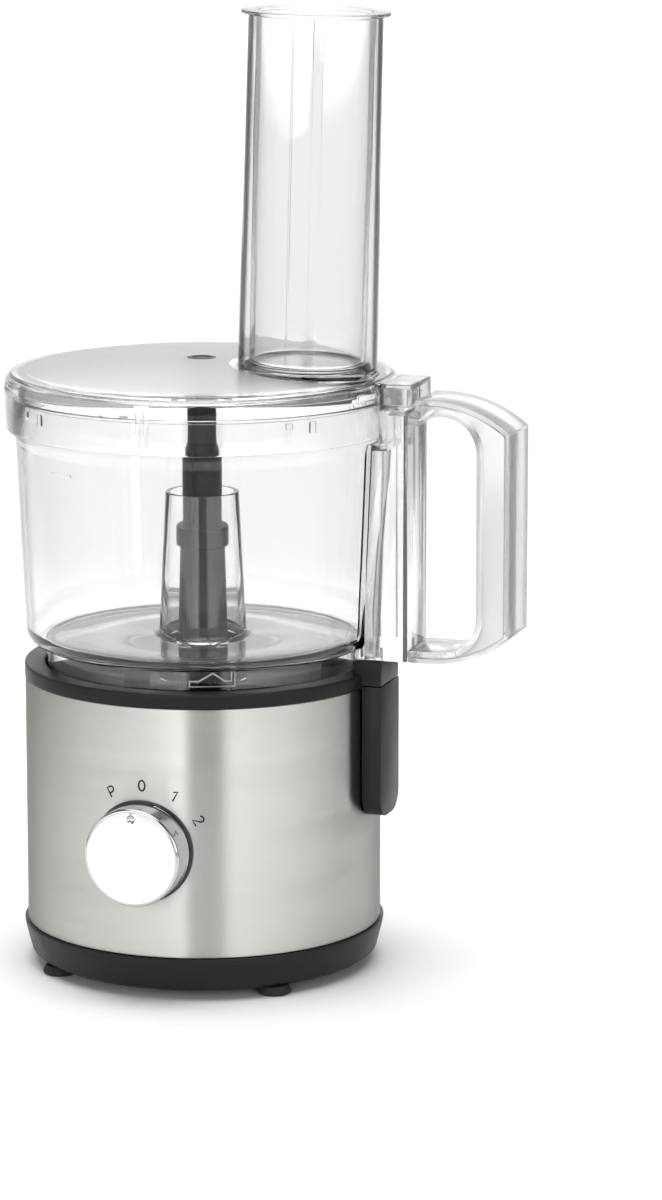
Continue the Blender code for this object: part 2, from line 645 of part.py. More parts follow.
def bowl():
    """Clear bowl: skirt, rounded floor, tapered wall, open chimney and the bracket that carries the handle."""
    r = 7.0
    t = BOWL_WALL
    outside = [(SKIRT_R, SKIRT_LOW), (SKIRT_R, BOWL_LOW)] + arc(
        (bowl_wall_r(BOWL_LOW + r) - r, BOWL_LOW + r), r, -90, 0, 4) + [
        (BOWL_HIGH_R, BOWL_HIGH), (84.0, BOWL_HIGH + 4), (84.0, BOWL_RIM)]
    inside = [(84.0 - t, BOWL_RIM), (84.0 - t, BOWL_HIGH + 4), (BOWL_HIGH_R - t, BOWL_HIGH)] + arc(
        (bowl_wall_r(BOWL_FLOOR + r) - t - r + 1, BOWL_FLOOR + r - 1), r - 1, 0, -90, 4)
    chimney = [(21.5, BOWL_FLOOR), (19.6, BOWL_FLOOR + 1.6), (CHIMNEY_TOP_R, CHIMNEY_TOP - 0.6),
               (CHIMNEY_TOP_R - 0.6, CHIMNEY_TOP), (14.6, CHIMNEY_TOP), (17.2, BOWL_LOW), (17.2, 130), (19.4, 130),
               (19.4, BOWL_LOW)]
    under = [(SKIRT_R - 2.0, BOWL_LOW), (SKIRT_R - 2.0, SKIRT_LOW)]
    made = turned("bowl", outside + inside + chimney + under, clear_plastic("bowl_clear"), BIG)
    bracket = prism("bracket", box_outline(70, BRACKET_X, -BRACKET_HALF_Y, BRACKET_HALF_Y, 1.6), BRACKET_LOW,
                    BRACKET_TOP, GUIDE)
    cut(bracket, guide_turned("ring_way", rod_outline(89.2, 238.2, 300), 48))
    cut(bracket, prism("rod_way", [(81.2, 130), (98.8, 130), (98.8, 251.5), (91.4, 251.5), (91.4, 235.5), (84.4, 235.5),
                                   (81.2, 160)], -13.3, 13.3, GUIDE, "XZ"))
    cut(bracket, guide_block("rod_hole", (92.1, -2.9, 240), (97.9, 2.9, 260)))
    cut(bracket, guide_turned("bowl_hollow", [(0, 130), (78.0, 130), (78.0, 151), (BOWL_HIGH_R - 1, BOWL_HIGH),
                                              (82.6, BOWL_HIGH + 6), (82.6, 300), (0, 300)], BIG))
    return join(made, bracket)


def chimney_bush():
    """Guide bush in the foot of the chimney, round the drive axle."""
    return turned("chimney_bush", [(12.6, 131), (16.8, 131), (16.8, 138), (12.6, 138)], rubber("bush_rubber"), 24)


def handle_side(inset=0.0):
    """Outer side line of the handle, from under the lid's tab round the grip to below it, pulled in by inset."""
    x = BRACKET_X + GAP
    step = HANDLE_STEP_X + inset
    far = HANDLE_X - inset
    r = HANDLE_SWEEP_R - inset
    end = math.degrees(math.acos((far - 1.0 - HANDLE_SWEEP_X) / r))
    top = arc((HANDLE_SWEEP_X, HANDLE_TOP - HANDLE_SWEEP_R), r, 90, end, 6)
    low = arc((HANDLE_SWEEP_X, HANDLE_LOW + HANDLE_SWEEP_R), r, -end, -90, 6)
    start = [(x, HANDLE_STEP_Z - inset), (step, HANDLE_STEP_Z - inset), (step, HANDLE_TOP - inset)]
    corners = [(far, top[-1][1] - 1.2), (far, low[0][1] + 1.2)]
    return start + top + corners + low + [(x, HANDLE_LOW + inset)]


def finger_hole(grow=0.0):
    """Outline of the finger opening, round on the grip's side, grown into the handle by grow."""
    r = FINGER_R + grow
    x1 = GRIP_X + grow
    z0, z1 = FINGER_LOW - grow, FINGER_TOP + grow
    haunch = [(110, z1), (106, HAUNCH_Z + grow), (90, HAUNCH_Z + grow)]
    return [(90, z0)] + arc((x1 - r, z0 + r), r, -90, 0, 5) + arc((x1 - r, z1 - r), r, 0, 90, 5) + haunch


def handle_frame():
    """Clear channel of the handle, open to the outside."""
    frame = prism("handle_frame", handle_side(2.5), -HANDLE_HALF_Y, HANDLE_HALF_Y, clear_plastic("handle_clear"), "XZ")
    channel = prism("channel", [(103.8, 270), (170, 270), (170, 130), (103.8, 130)], -13.4, 13.4, GUIDE, "XZ")
    cut(channel, prism("channel_inside", finger_hole(2.6), -20, 20, GUIDE, "XZ"))
    cut(frame, prism("finger_way", finger_hole(), -30, 30, GUIDE, "XZ"))
    return cut(frame, channel)


def handle_cover():
    """Clear bowed cover that closes the handle's channel."""
    cover = prism("handle_cover", handle_side(), -HANDLE_HALF_Y, HANDLE_HALF_Y, clear_plastic("cover_clear"), "XZ")
    return cut(cover, prism("cover_inside", [(80, HANDLE_STEP_Z - 2.2)] + handle_side(2.2) + [(80, HANDLE_LOW + 2.2)],
                            -30, 30, GUIDE, "XZ"))


def interlock_rod():
    """Clear rod in the bracket that carries the lid's push down to the plunger."""
    side = [(92.5, 253.2), (92.5, 152), (82.2, 152), (82.2, 141.0), (85.2, 141.0), (85.2, 147), (97.5, 147),
            (97.5, 253.2)]
    rod = prism("interlock_rod", side, -2.5, 2.5, clear_plastic("rod_clear"), "XZ")
    return set_origin(rod, (95, 0, 147))


# ---------------------------------------------------------------- lid, feed tube and pusher


def dome(radius, drop=0.0):
    """Height of the lid's top at a radius."""
    return LID_CENTRE - (LID_CENTRE - LID_EDGE) * (radius / LID_EDGE_R) ** 2 - drop


def lid():
    """Clear domed lid with its ring, tab, bearing boss and leaning feed tube."""
    t = LID_WALL
    top = [(r, dome(r)) for r in (6.6, 30, 58, 75)]
    rim = [(LID_EDGE_R, LID_EDGE), (87.4, 263.6), (LID_RING_R, LID_SHOULDER), (87.3, LID_RING_LOW)]
    inside = [(85.2, LID_RING_LOW), (85.9, LID_SHOULDER), (84.4, 262.6), (81.2, 263.2), (81.2, 254), (79.6, 254),
              (79.6, 263.6)]
    under = [(r, dome(r, t)) for r in (58, 30)] + [(9.5, dome(9.5, t)), (9.5, 263.0), (6.6, 263.0)]
    made = turned("lid", top + rim + inside + under, clear_plastic("lid_clear"), BIG)
    tab_side = [(-TAB_HALF_Y, 256.2), (-3, TAB_LOW), (TAB_HALF_Y, TAB_LOW), (TAB_HALF_Y, 265.6), (-TAB_HALF_Y, 265.6)]
    tab = prism("tab", tab_side, 86.6, TAB_X, GUIDE, "YZ")
    cut(tab, guide_block("tab_hollow", (89.4, -12.8, 240), (100.3, 12.8, 263.4)))
    join(tab, guide_block("tab_root", (78, -13.4, 263.4), (90, 13.4, 265.3)))
    join(tab, guide_block("tab_rib", (89, -1.0, 255.0), (101, 1.0, 264)))
    join(made, tab)
    foot = TUBE_FOOT - 0.5
    outer = leaned(guide_turned("tube_outside", [(0, foot), (TUBE_LOW_R + 0.8, foot), (TUBE_LOW_R, foot + 9),
                                                 (TUBE_TOP_R, TUBE_TOP), (0, TUBE_TOP)], 28, (TUBE_X, 0, 0)))
    join(made, outer)
    inner = leaned(guide_turned("tube_inside", [(0, 240), (TUBE_LOW_R - TUBE_WALL, 240),
                                                (TUBE_TOP_R - TUBE_WALL, 440), (0, 440)], 28, (TUBE_X, 0, 0)))
    return cut(made, inner)


def lid_bearing():
    """Dark plug in the middle of the lid that centres the axle's pin."""
    outline = [(0, 271.4), (5.7, 271.4), (6.25, 270.9), (6.25, 263.2), (3.3, 263.2), (3.3, 269), (0, 269)]
    return turned("lid_bearing", outline, black_plastic("bearing_black"), 20)


def pusher():
    """Clear cup that slides down the feed tube until its flange rests on the tube's rim."""
    t = 2.0
    low = PUSHER_LOW
    flange_low = TUBE_TOP + GAP
    outline = [(0, low), (PUSHER_LOW_R - 3, low), (PUSHER_LOW_R, low + 3), (PUSHER_TOP_R, flange_low),
               (PUSHER_FLANGE_R, flange_low), (PUSHER_FLANGE_R, PUSHER_FLANGE_TOP - 0.6),
               (PUSHER_FLANGE_R - 0.8, PUSHER_FLANGE_TOP), (PUSHER_TOP_R - t + 0.6, PUSHER_FLANGE_TOP),
               (PUSHER_TOP_R - t, PUSHER_FLANGE_TOP - 1), (PUSHER_LOW_R - t, low + t + 1.5),
               (PUSHER_LOW_R - t - 1.5, low + t), (0, low + t)]
    return leaned(turned("pusher", outline, clear_plastic("pusher_clear"), 28, (TUBE_X, 0, 0)))


# ---------------------------------------------------------------- assembly


for old in list(bpy.data.objects):
    bpy.data.objects.remove(old, do_unlink=True)

GUIDE = material("guide", (0.8, 0.2, 0.8), 0.5)

lower_housing()
feet()
base_screws()
steel_sleeve()
top_housing()
pillar_cover()
cord_gland()
motor_plate()
spindle_housing()
spindle_parts()
drive_axle()
drive_belt()
rotor_parts()
motor_parts()
knob_parts()
interlock_parts()
bowl()
chimney_bush()
handle_frame()
handle_cover()
interlock_rod()
lid()
lid_bearing()
pusher()
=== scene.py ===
"""Looks of the compact food processor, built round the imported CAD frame.

Shapes are drawn in millimetres in the frame's own axes and turned into metres when they become objects.
+Z is up, the control knob faces -Y and the bowl's handle points to +X. The bowl, lid and axle turn about Z.
"""

import math

import bmesh
import bpy
from mathutils import Matrix, Vector


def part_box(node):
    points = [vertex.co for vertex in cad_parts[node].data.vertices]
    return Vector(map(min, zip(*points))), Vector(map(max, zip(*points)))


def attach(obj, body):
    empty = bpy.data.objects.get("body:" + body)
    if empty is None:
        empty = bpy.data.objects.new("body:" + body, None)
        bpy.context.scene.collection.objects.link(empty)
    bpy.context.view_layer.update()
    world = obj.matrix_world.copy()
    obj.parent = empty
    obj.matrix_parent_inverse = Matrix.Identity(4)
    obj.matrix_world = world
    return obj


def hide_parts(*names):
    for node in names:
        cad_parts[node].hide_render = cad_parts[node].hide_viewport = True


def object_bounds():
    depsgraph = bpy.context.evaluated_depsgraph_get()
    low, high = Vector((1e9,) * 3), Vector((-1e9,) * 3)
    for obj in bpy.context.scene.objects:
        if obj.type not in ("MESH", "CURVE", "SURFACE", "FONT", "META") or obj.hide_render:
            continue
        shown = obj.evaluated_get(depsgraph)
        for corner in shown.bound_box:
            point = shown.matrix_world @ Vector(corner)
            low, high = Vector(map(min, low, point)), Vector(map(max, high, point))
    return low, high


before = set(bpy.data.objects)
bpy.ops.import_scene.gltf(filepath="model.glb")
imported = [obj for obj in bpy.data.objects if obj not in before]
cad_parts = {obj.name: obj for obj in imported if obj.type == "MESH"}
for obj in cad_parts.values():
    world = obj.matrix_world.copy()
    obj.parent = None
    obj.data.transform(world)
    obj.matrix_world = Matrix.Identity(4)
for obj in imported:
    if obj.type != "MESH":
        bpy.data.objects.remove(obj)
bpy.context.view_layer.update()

MM = 0.001


def corners(name):
    """Lowest and highest corner of a CAD node, in millimetres."""
    low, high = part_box(name)
    return low / MM, high / MM


# ---------------------------------------------------------------- sizes taken from the frame

BASE_R = corners("lower_housing")[1].x
SLEEVE_R = corners("steel_sleeve")[1].x
SLEEVE_LOW = corners("steel_sleeve")[0].z
SLEEVE_TOP = corners("steel_sleeve")[1].z
COLLAR_R = -corners("top_housing")[0].x
CAP_TOP = corners("top_housing")[1].z
PILLAR_X = corners("pillar_cover")[1].x
PILLAR_HALF_Y = corners("pillar_cover")[1].y
PILLAR_LOW = corners("pillar_cover")[0].z
PILLAR_SEAM = corners("pillar_cover")[1].z + 0.3
KNOB_LOW, KNOB_HIGH = corners("knob")
KNOB_R = (KNOB_HIGH.x - KNOB_LOW.x) / 2
KNOB_Z = (KNOB_HIGH.z + KNOB_LOW.z) / 2
KNOB_FACE_Y = KNOB_LOW.y
BEZEL_LOW, BEZEL_HIGH = corners("knob_bezel")
SKIRT_LOW = corners("bowl")[0].z
BOWL_RIM = corners("bowl")[1].z
BOWL_RIM_R = -corners("bowl")[0].x
BRACKET_X = corners("bowl")[1].x
LID_RING_R = -corners("lid")[0].x
LID_RING_LOW = corners("lid")[0].z
TUBE_TOP = corners("lid")[1].z
TAB_X = corners("lid")[1].x
HANDLE_X = corners("handle_cover")[1].x
HANDLE_HALF_Y = corners("handle_cover")[1].y
HANDLE_LOW = corners("handle_cover")[0].z
HANDLE_TOP = corners("handle_cover")[1].z
PUSHER_LOW = corners("pusher")[0].z
AXLE_TOP = corners("drive_axle")[1].z
AXLE_LOW = corners("drive_axle")[0].z
FOOT_LOW = corners("foot_1")[0].z

# Shape of the turned pieces between those levels
SKIRT_R = 70.1
BOWL_LOW = 143.1
BOWL_FLOOR = 145.9
BOWL_LOW_R = 79.4
BOWL_HIGH_R = 83.1
BOWL_HIGH = 234.0
WALL = 2.3
TUBE_X = 49.7
TUBE_LEAN = math.radians(1.53)
TUBE_FOOT = 262.0
TUBE_LOW_R = 31.0
TUBE_TOP_R = 29.6
# The next two set where the feed tube's darker painted edge shade goes.
TUBE_SKIN = 1.2  # depth of the feed tube's wall that counts as its outside
TUBE_SEEN_FROM = 276.0  # the tube wears its own plastic above this height
DOME_TOP = 271.3
DOME_DROP = 5.4
DOME_R = 84.8
BRACKET_FROM = 84.5  # the bracket's plastic is frosted beyond this distance from the axle
TAB_FROM = 89.0


# ---------------------------------------------------------------- node helpers


def node(tree, kind, settings=None, **inputs):
    """Adds a shader node; its inputs, named with _ for a space, take values or other nodes' sockets."""
    made = tree.nodes.new(kind)
    for name, value in (settings or {}).items():
        setattr(made, name, value)
    for name, value in inputs.items():
        key = int(name[1:]) if name[0] == "i" and name[1:].isdigit() else name.replace("_", " ")
        socket = made.inputs[key]
        if isinstance(value, bpy.types.NodeSocket):
            tree.links.new(value, socket)
        else:
            socket.default_value = value
    return made


def grey(level, alpha=1.0):
    """A neutral colour."""
    return (level, level, level, alpha)


# ---------------------------------------------------------------- camera, floor and light

CAMERA_AZIMUTH = math.radians(18.2)  # the camera stands this far round from -Y towards +X
CAMERA_TILT = math.radians(11.4)
CAMERA_DISTANCE = 2.047
CAMERA_ASIDE = 0.0578
CAMERA_HEIGHT = 0.5734
CAMERA_LENS = 138.9


def add_camera():
    """The camera that the photograph's proportions call for."""
    data = bpy.data.cameras.new("camera")
    data.lens = CAMERA_LENS
    data.sensor_width = 36.0
    made = bpy.data.objects.new("camera", data)
    s, c = math.sin(CAMERA_AZIMUTH), math.cos(CAMERA_AZIMUTH)
    made.location = (s * CAMERA_DISTANCE + c * CAMERA_ASIDE, -c * CAMERA_DISTANCE + s * CAMERA_ASIDE, CAMERA_HEIGHT)
    made.rotation_euler = (math.pi / 2 - CAMERA_TILT, 0, CAMERA_AZIMUTH)
    bpy.context.scene.collection.objects.link(made)
    bpy.context.scene.camera = made


def studio_point(forward, aside, height):
    """A place given by its distance behind the object, as the camera sees it, and to the camera's right."""
    s, c = math.sin(CAMERA_AZIMUTH), math.cos(CAMERA_AZIMUTH)
    return Vector((-s * forward + c * aside, c * forward + s * aside, height))


def add_panel(name, place, target, width, height, radiance, spread=180.0):
    """A rectangular soft light at place that faces target."""
    data = bpy.data.lights.new(name, "AREA")
    data.shape = "RECTANGLE"
    data.size = width
    data.size_y = height
    data.energy = radiance * math.pi * width * height
    data.spread = math.radians(spread)
    made = bpy.data.objects.new(name, data)
    made.location = place
    made.rotation_euler = (target - place).to_track_quat("-Z", "Y").to_euler()
    made.visible_camera = False
    bpy.context.scene.collection.objects.link(made)
    return made


# Brightness of the studio walls by their bearing from the camera, seen from the object: degrees to the right of the
# camera, and the level there. A dim gap stands between two large soft boxes, and the wall behind the object is bright.
WALL_LEVELS = [(-180, 1.2), (-166, 1.1), (-148, 0.1), (-125, 0.2), (-108, 0.6), (-80, 1.4), (-56, 2.0),
               (-35, 2.6), (-20, 3.4), (-11, 4.6), (-7.5, 0.03), (13, 0.03), (16.5, 3.0), (26, 3.0), (37, 2.6),
               (58, 2.0), (81, 1.0), (100, 0.35), (125, 0.2), (148, 0.2), (166, 1.1), (180, 1.2)]
BRIGHTEST = 4.6
CEILING_FROM, CEILING_FULL, CEILING_LEVEL = 0.2, 0.6, 0.4  # heights of a direction where the walls fade, and to what
GLOW_FROM, GLOW_FULL, GLOW_LEVEL = 0.08, 0.35, 0.9  # the same for the extra light high behind the object
BEHIND_FROM, BEHIND_FULL = -0.25, -0.8  # how far a direction points away from the camera to count as behind


def add_world():
    """Studio walls with soft boxes in front and a bright wall behind, all fading upwards into a dim ceiling."""
    world = bpy.data.worlds.new("studio")
    world.use_nodes = True
    tree = world.node_tree
    tree.nodes.clear()
    direction = node(tree, "ShaderNodeTexCoord").outputs["Generated"]
    height = node(tree, "ShaderNodeSeparateXYZ", i0=direction).outputs["Z"]
    nearing = node(tree, "ShaderNodeVectorMath", {"operation": "DOT_PRODUCT"}, i0=direction,
                   i1=studio_point(-1.0, 0.0, 0.0)).outputs["Value"]
    aside = node(tree, "ShaderNodeVectorMath", {"operation": "DOT_PRODUCT"}, i0=direction,
                 i1=studio_point(0.0, 1.0, 0.0)).outputs["Value"]
    bearing = node(tree, "ShaderNodeMath", {"operation": "ARCTAN2"}, i0=aside, i1=nearing).outputs[0]
    turn = node(tree, "ShaderNodeMapRange", Value=bearing, From_Min=-math.pi, From_Max=math.pi).outputs[0]
    ramp = node(tree, "ShaderNodeValToRGB", Fac=turn)
    stops = ramp.color_ramp.elements
    stops.remove(stops[1])
    for i, (degrees, level) in enumerate(WALL_LEVELS):
        stop = stops[0] if i == 0 else stops.new(0.5 + degrees / 360)
        stop.position = 0.5 + degrees / 360
        stop.color = grey(level / BRIGHTEST)
    fade = node(tree, "ShaderNodeMapRange", {"interpolation_type": "SMOOTHSTEP"}, Value=height,
                From_Min=CEILING_FROM, From_Max=CEILING_FULL, To_Min=BRIGHTEST, To_Max=CEILING_LEVEL).outputs[0]
    walls = node(tree, "ShaderNodeMath", {"operation": "MULTIPLY"}, i0=ramp.outputs["Color"], i1=fade).outputs[0]
    behind = node(tree, "ShaderNodeMapRange", {"interpolation_type": "SMOOTHSTEP"}, Value=nearing,
                  From_Min=BEHIND_FROM, From_Max=BEHIND_FULL, To_Min=0.0, To_Max=1.0).outputs[0]
    raised = node(tree, "ShaderNodeMapRange", {"interpolation_type": "SMOOTHSTEP"}, Value=height,
                  From_Min=GLOW_FROM, From_Max=GLOW_FULL, To_Min=0.0, To_Max=GLOW_LEVEL).outputs[0]
    lit = node(tree, "ShaderNodeMath", {"operation": "MULTIPLY_ADD"}, i0=behind, i1=raised, i2=walls).outputs[0]
    background = node(tree, "ShaderNodeBackground", Color=lit)
    node(tree, "ShaderNodeOutputWorld", Surface=background.outputs[0])
    bpy.context.scene.world = world


# Overhead strips: name, where each starts and ends behind the object, its width, and its level
STRIPS = [("near", -0.52, 0.8, 1.3, 1.0), ("middle", 0.8, 3.0, 2.0, 0.76), ("far", 3.0, 9.5, 3.6, 1.25)]
STRIP_HEIGHT = 0.52
STRIP_SPREAD = 64


def add_lights():
    """A row of soft boxes over the floor along the camera's line, gridded so that they light little beside it."""
    for name, start, end, width, level in STRIPS:
        place = studio_point((start + end) / 2, 0.0, STRIP_HEIGHT)
        strip = add_panel("strip_" + name, place, place + Vector((0, 0, -1)), width, end - start, level, STRIP_SPREAD)
        strip.rotation_euler = (0, 0, CAMERA_AZIMUTH)


FLOOR_HALF = 14.0


def add_floor():
    """A plain pale floor at the feet, out to where the walls' light has faded."""
    half = FLOOR_HALF
    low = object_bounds()[0][2]
    mesh = bpy.data.meshes.new("floor")
    mesh.from_pydata([(-half, -half, low), (half, -half, low), (half, half, low), (-half, half, low)], [],
                     [(0, 1, 2, 3)])
    floor = bpy.data.objects.new("floor", mesh)
    bpy.context.scene.collection.objects.link(floor)
    paint = bpy.data.materials.new("floor_paint")
    paint.use_nodes = True
    shader = paint.node_tree.nodes["Principled BSDF"]
    shader.inputs["Base Color"].default_value = grey(0.88)
    shader.inputs["Roughness"].default_value = 0.7
    shader.inputs["Specular IOR Level"].default_value = 0.1
    mesh.materials.append(paint)


add_camera()
add_world()
add_lights()
add_floor()
bpy.context.scene.view_settings.view_transform = "Standard"
bpy.context.scene.cycles.max_bounces = 24
bpy.context.scene.cycles.transmission_bounces = 24


# ---------------------------------------------------------------- materials


def material(name, **inputs):
    """A Principled material; returns it with its tree and shader."""
    made = bpy.data.materials.new(name)
    made.use_nodes = True
    shader = made.node_tree.nodes["Principled BSDF"]
    for key, value in inputs.items():
        shader.inputs[key.replace("_", " ")].default_value = value
    return made, made.node_tree, shader


def place_of(tree, scale=(1.0, 1.0, 1.0)):
    """Object coordinates, which are metres in the frame, stretched by scale."""
    coordinates = node(tree, "ShaderNodeTexCoord").outputs["Object"]
    return node(tree, "ShaderNodeMapping", Vector=coordinates, Scale=scale).outputs[0]


def noise(tree, where, scale, detail=2.0, roughness=0.5):
    """A soft noise between 0 and 1."""
    made = node(tree, "ShaderNodeTexNoise", Vector=where, Scale=scale, Detail=detail, Roughness=roughness)
    return made.outputs["Fac"]


def ranged(tree, value, low, high, from_low=0.3, from_high=0.7):
    """A value spread from one range onto another."""
    return node(tree, "ShaderNodeMapRange", Value=value, From_Min=from_low, From_Max=from_high, To_Min=low,
                To_Max=high).outputs[0]


def tinted(tree, value, dark, light):
    """A colour between dark and light by value."""
    return node(tree, "ShaderNodeMix", {"data_type": "RGBA"}, Factor=value, i6=(*dark, 1), i7=(*light, 1)).outputs[2]


def bumped(tree, shader, height, strength, distance):
    """Gives a shader the normals of a height."""
    bump = node(tree, "ShaderNodeBump", Height=height, Strength=strength, Distance=distance)
    tree.links.new(bump.outputs[0], shader.inputs["Normal"])


def moulded(name, dark, light, roughness=0.4, grain=2600.0, depth=0.00004, specular=0.5):
    """Opaque moulded plastic or rubber: faint mottling, fine spark-eroded grain and a drifting sheen."""
    made, tree, shader = material(name, Specular_IOR_Level=specular)
    where = place_of(tree)
    mottle = noise(tree, where, 60.0, 3.0)
    fine = noise(tree, where, grain, 2.0)
    tree.links.new(tinted(tree, mottle, dark, light), shader.inputs["Base Color"])
    tree.links.new(ranged(tree, mottle, roughness - 0.04, roughness + 0.06), shader.inputs["Roughness"])
    bumped(tree, shader, fine, 0.35, depth)
    return made


FROST_ROUGH = 0.28
FROST_LOSS = 0.28


def clear_plastic(name, tint=(0.5, 0.49, 0.53), density=14.0, edge=(0.12, 0.125, 0.14), edge_span=(0.70, 0.86),
                  haze=0.0, frost=None, edge_shade_where=None):
    """Clear moulded plastic: slow waves in the surface, handling haze, a faint grey cast and a painted edge shade that
    darkens its colour at grazing angles.

    haze frosts the whole piece evenly. frost makes a socket that is 1 where it is frosted and 0 where it is clear,
    and edge_shade_where one that is 1 where the painted edge shade may show.
    """
    made, tree, shader = material(name, IOR=1.5, Transmission_Weight=1.0 - FROST_LOSS * haze)
    where = place_of(tree)
    waves = noise(tree, where, 26.0, 1.0)
    handled = noise(tree, where, 90.0, 3.0)
    # Painted edge shade: the base colour goes from white to the edge colour where the surface is seen at a grazing
    # angle.
    facing = node(tree, "ShaderNodeLayerWeight", Blend=0.5).outputs["Facing"]
    grazing = node(tree, "ShaderNodeMapRange", {"interpolation_type": "SMOOTHSTEP"}, Value=facing,
                   From_Min=edge_span[0], From_Max=edge_span[1]).outputs[0]
    rough = ranged(tree, handled, 0.015 + FROST_ROUGH * haze, 0.035 + FROST_ROUGH * haze, 0.45, 0.8)
    if frost:
        mask = frost(tree)
        rough = node(tree, "ShaderNodeMath", {"operation": "MULTIPLY_ADD"}, i0=mask, i1=FROST_ROUGH,
                     i2=rough).outputs[0]
        through = node(tree, "ShaderNodeMapRange", Value=mask, To_Min=1.0, To_Max=1.0 - FROST_LOSS).outputs[0]
        tree.links.new(through, shader.inputs["Transmission Weight"])
    if edge_shade_where:
        grazing = node(tree, "ShaderNodeMath", {"operation": "MULTIPLY"}, i0=grazing, i1=edge_shade_where(tree)).outputs[0]
    tree.links.new(tinted(tree, grazing, (1, 1, 1), edge), shader.inputs["Base Color"])
    tree.links.new(rough, shader.inputs["Roughness"])
    bumped(tree, shader, waves, 0.12, 0.002)
    volume = node(tree, "ShaderNodeVolumeAbsorption", Color=(*tint, 1), Density=density)
    output = next(n for n in tree.nodes if n.type == "OUTPUT_MATERIAL")
    tree.links.new(volume.outputs[0], output.inputs["Volume"])
    return made


def distance_from(tree, x):
    """Distance in millimetres from the upright line at x, y = 0."""
    coordinates = node(tree, "ShaderNodeTexCoord").outputs["Object"]
    moved = node(tree, "ShaderNodeVectorMath", {"operation": "SUBTRACT"}, i0=coordinates, i1=(x * MM, 0, 0)).outputs[0]
    flat = node(tree, "ShaderNodeMapping", Vector=moved, Scale=(1 / MM, 1 / MM, 0)).outputs[0]
    return node(tree, "ShaderNodeVectorMath", {"operation": "LENGTH"}, i0=flat).outputs["Value"]


def beyond(tree, x, level):
    """level where the piece reaches past x millimetres towards the handle, and 0 elsewhere."""
    across = node(tree, "ShaderNodeSeparateXYZ", i0=node(tree, "ShaderNodeTexCoord").outputs["Object"]).outputs["X"]
    past = node(tree, "ShaderNodeMath", {"operation": "GREATER_THAN"}, i0=across, i1=x * MM).outputs[0]
    return node(tree, "ShaderNodeMath", {"operation": "MULTIPLY"}, i0=past, i1=level).outputs[0]


def bracket_haze(tree):
    """A quarter of full frost on the bowl's bracket."""
    return beyond(tree, BRACKET_FROM, 0.25)


def off_bracket(tree):
    """1 on the bowl itself and 0 on its bracket: where the bowl's painted edge shade may show."""
    bracket = beyond(tree, BRACKET_FROM, 1.0)
    return node(tree, "ShaderNodeMath", {"operation": "SUBTRACT"}, i0=1.0, i1=bracket).outputs[0]


def outer_wall(tree):
    """1 on the outside of the leaning, tapered feed tube and 0 on its bore: where the tube's painted edge shade may
    show.
    """
    taper = (TUBE_LOW_R - TUBE_TOP_R) / (TUBE_TOP - TUBE_FOOT)
    foot_r = TUBE_LOW_R - TUBE_SKIN
    place = node(tree, "ShaderNodeTexCoord").outputs["Object"]
    upright = node(tree, "ShaderNodeVectorRotate", {"rotation_type": "Y_AXIS"}, i0=place,
                   i1=(TUBE_X * MM, 0, TUBE_FOOT * MM), Angle=-TUBE_LEAN).outputs[0]
    height = node(tree, "ShaderNodeSeparateXYZ", i0=upright).outputs["Z"]
    allowed = node(tree, "ShaderNodeMath", {"operation": "MULTIPLY_ADD"}, i0=height, i1=taper,
                   i2=-(foot_r + TUBE_FOOT * taper) * MM).outputs[0]
    moved = node(tree, "ShaderNodeVectorMath", {"operation": "SUBTRACT"}, i0=upright,
                 i1=(TUBE_X * MM, 0, 0)).outputs[0]
    flat = node(tree, "ShaderNodeMapping", Vector=moved, Scale=(1, 1, 0)).outputs[0]
    radius = node(tree, "ShaderNodeVectorMath", {"operation": "LENGTH"}, i0=flat).outputs["Value"]
    past = node(tree, "ShaderNodeMath", {"operation": "ADD"}, i0=radius, i1=allowed).outputs[0]
    return node(tree, "ShaderNodeMath", {"operation": "GREATER_THAN"}, i0=past, i1=0.0).outputs[0]


def lid_frost(tree):
    """1 on the lid's domed top inside its shoulder, apart from the foot of the feed tube."""
    middle = node(tree, "ShaderNodeMath", {"operation": "LESS_THAN"}, i0=distance_from(tree, 0.0), i1=78.6)
    clear_of_tube = node(tree, "ShaderNodeMath", {"operation": "GREATER_THAN"}, i0=distance_from(tree, TUBE_X),
                         i1=TUBE_LOW_R + 3.6)
    top = node(tree, "ShaderNodeMath", {"operation": "MULTIPLY"}, i0=middle.outputs[0], i1=clear_of_tube.outputs[0])
    tab = beyond(tree, TAB_FROM, 0.35)
    return node(tree, "ShaderNodeMath", {"operation": "ADD"}, i0=tab, i1=top.outputs[0]).outputs[0]


def brushed_steel(name, colour=(0.61, 0.60, 0.575), stretch=(4.0, 4.0, 1500.0)):
    """Stainless sheet brushed along its length: fine level scratches and soft long streaks."""
    made, tree, shader = material(name, Metallic=1.0, Anisotropic=1.0, Anisotropic_Rotation=0.25,
                                  Specular_Tint=(0.4, 0.4, 0.39, 1))
    scratches = noise(tree, place_of(tree, stretch), 1.0, 4.0, 0.7)
    streaks = noise(tree, place_of(tree, (stretch[0] * 2, stretch[1] * 2, stretch[2] / 12)), 1.0, 3.0)
    dark = tuple(c * 0.93 for c in colour)
    light = tuple(min(1.0, c * 1.05) for c in colour)
    both = node(tree, "ShaderNodeMath", {"operation": "MULTIPLY_ADD"}, i0=scratches, i1=0.6,
                i2=ranged(tree, streaks, 0.0, 0.4)).outputs[0]
    tree.links.new(tinted(tree, both, dark, light), shader.inputs["Base Color"])
    tree.links.new(ranged(tree, both, 0.31, 0.39), shader.inputs["Roughness"])
    bumped(tree, shader, scratches, 0.15, 0.00003)
    return made


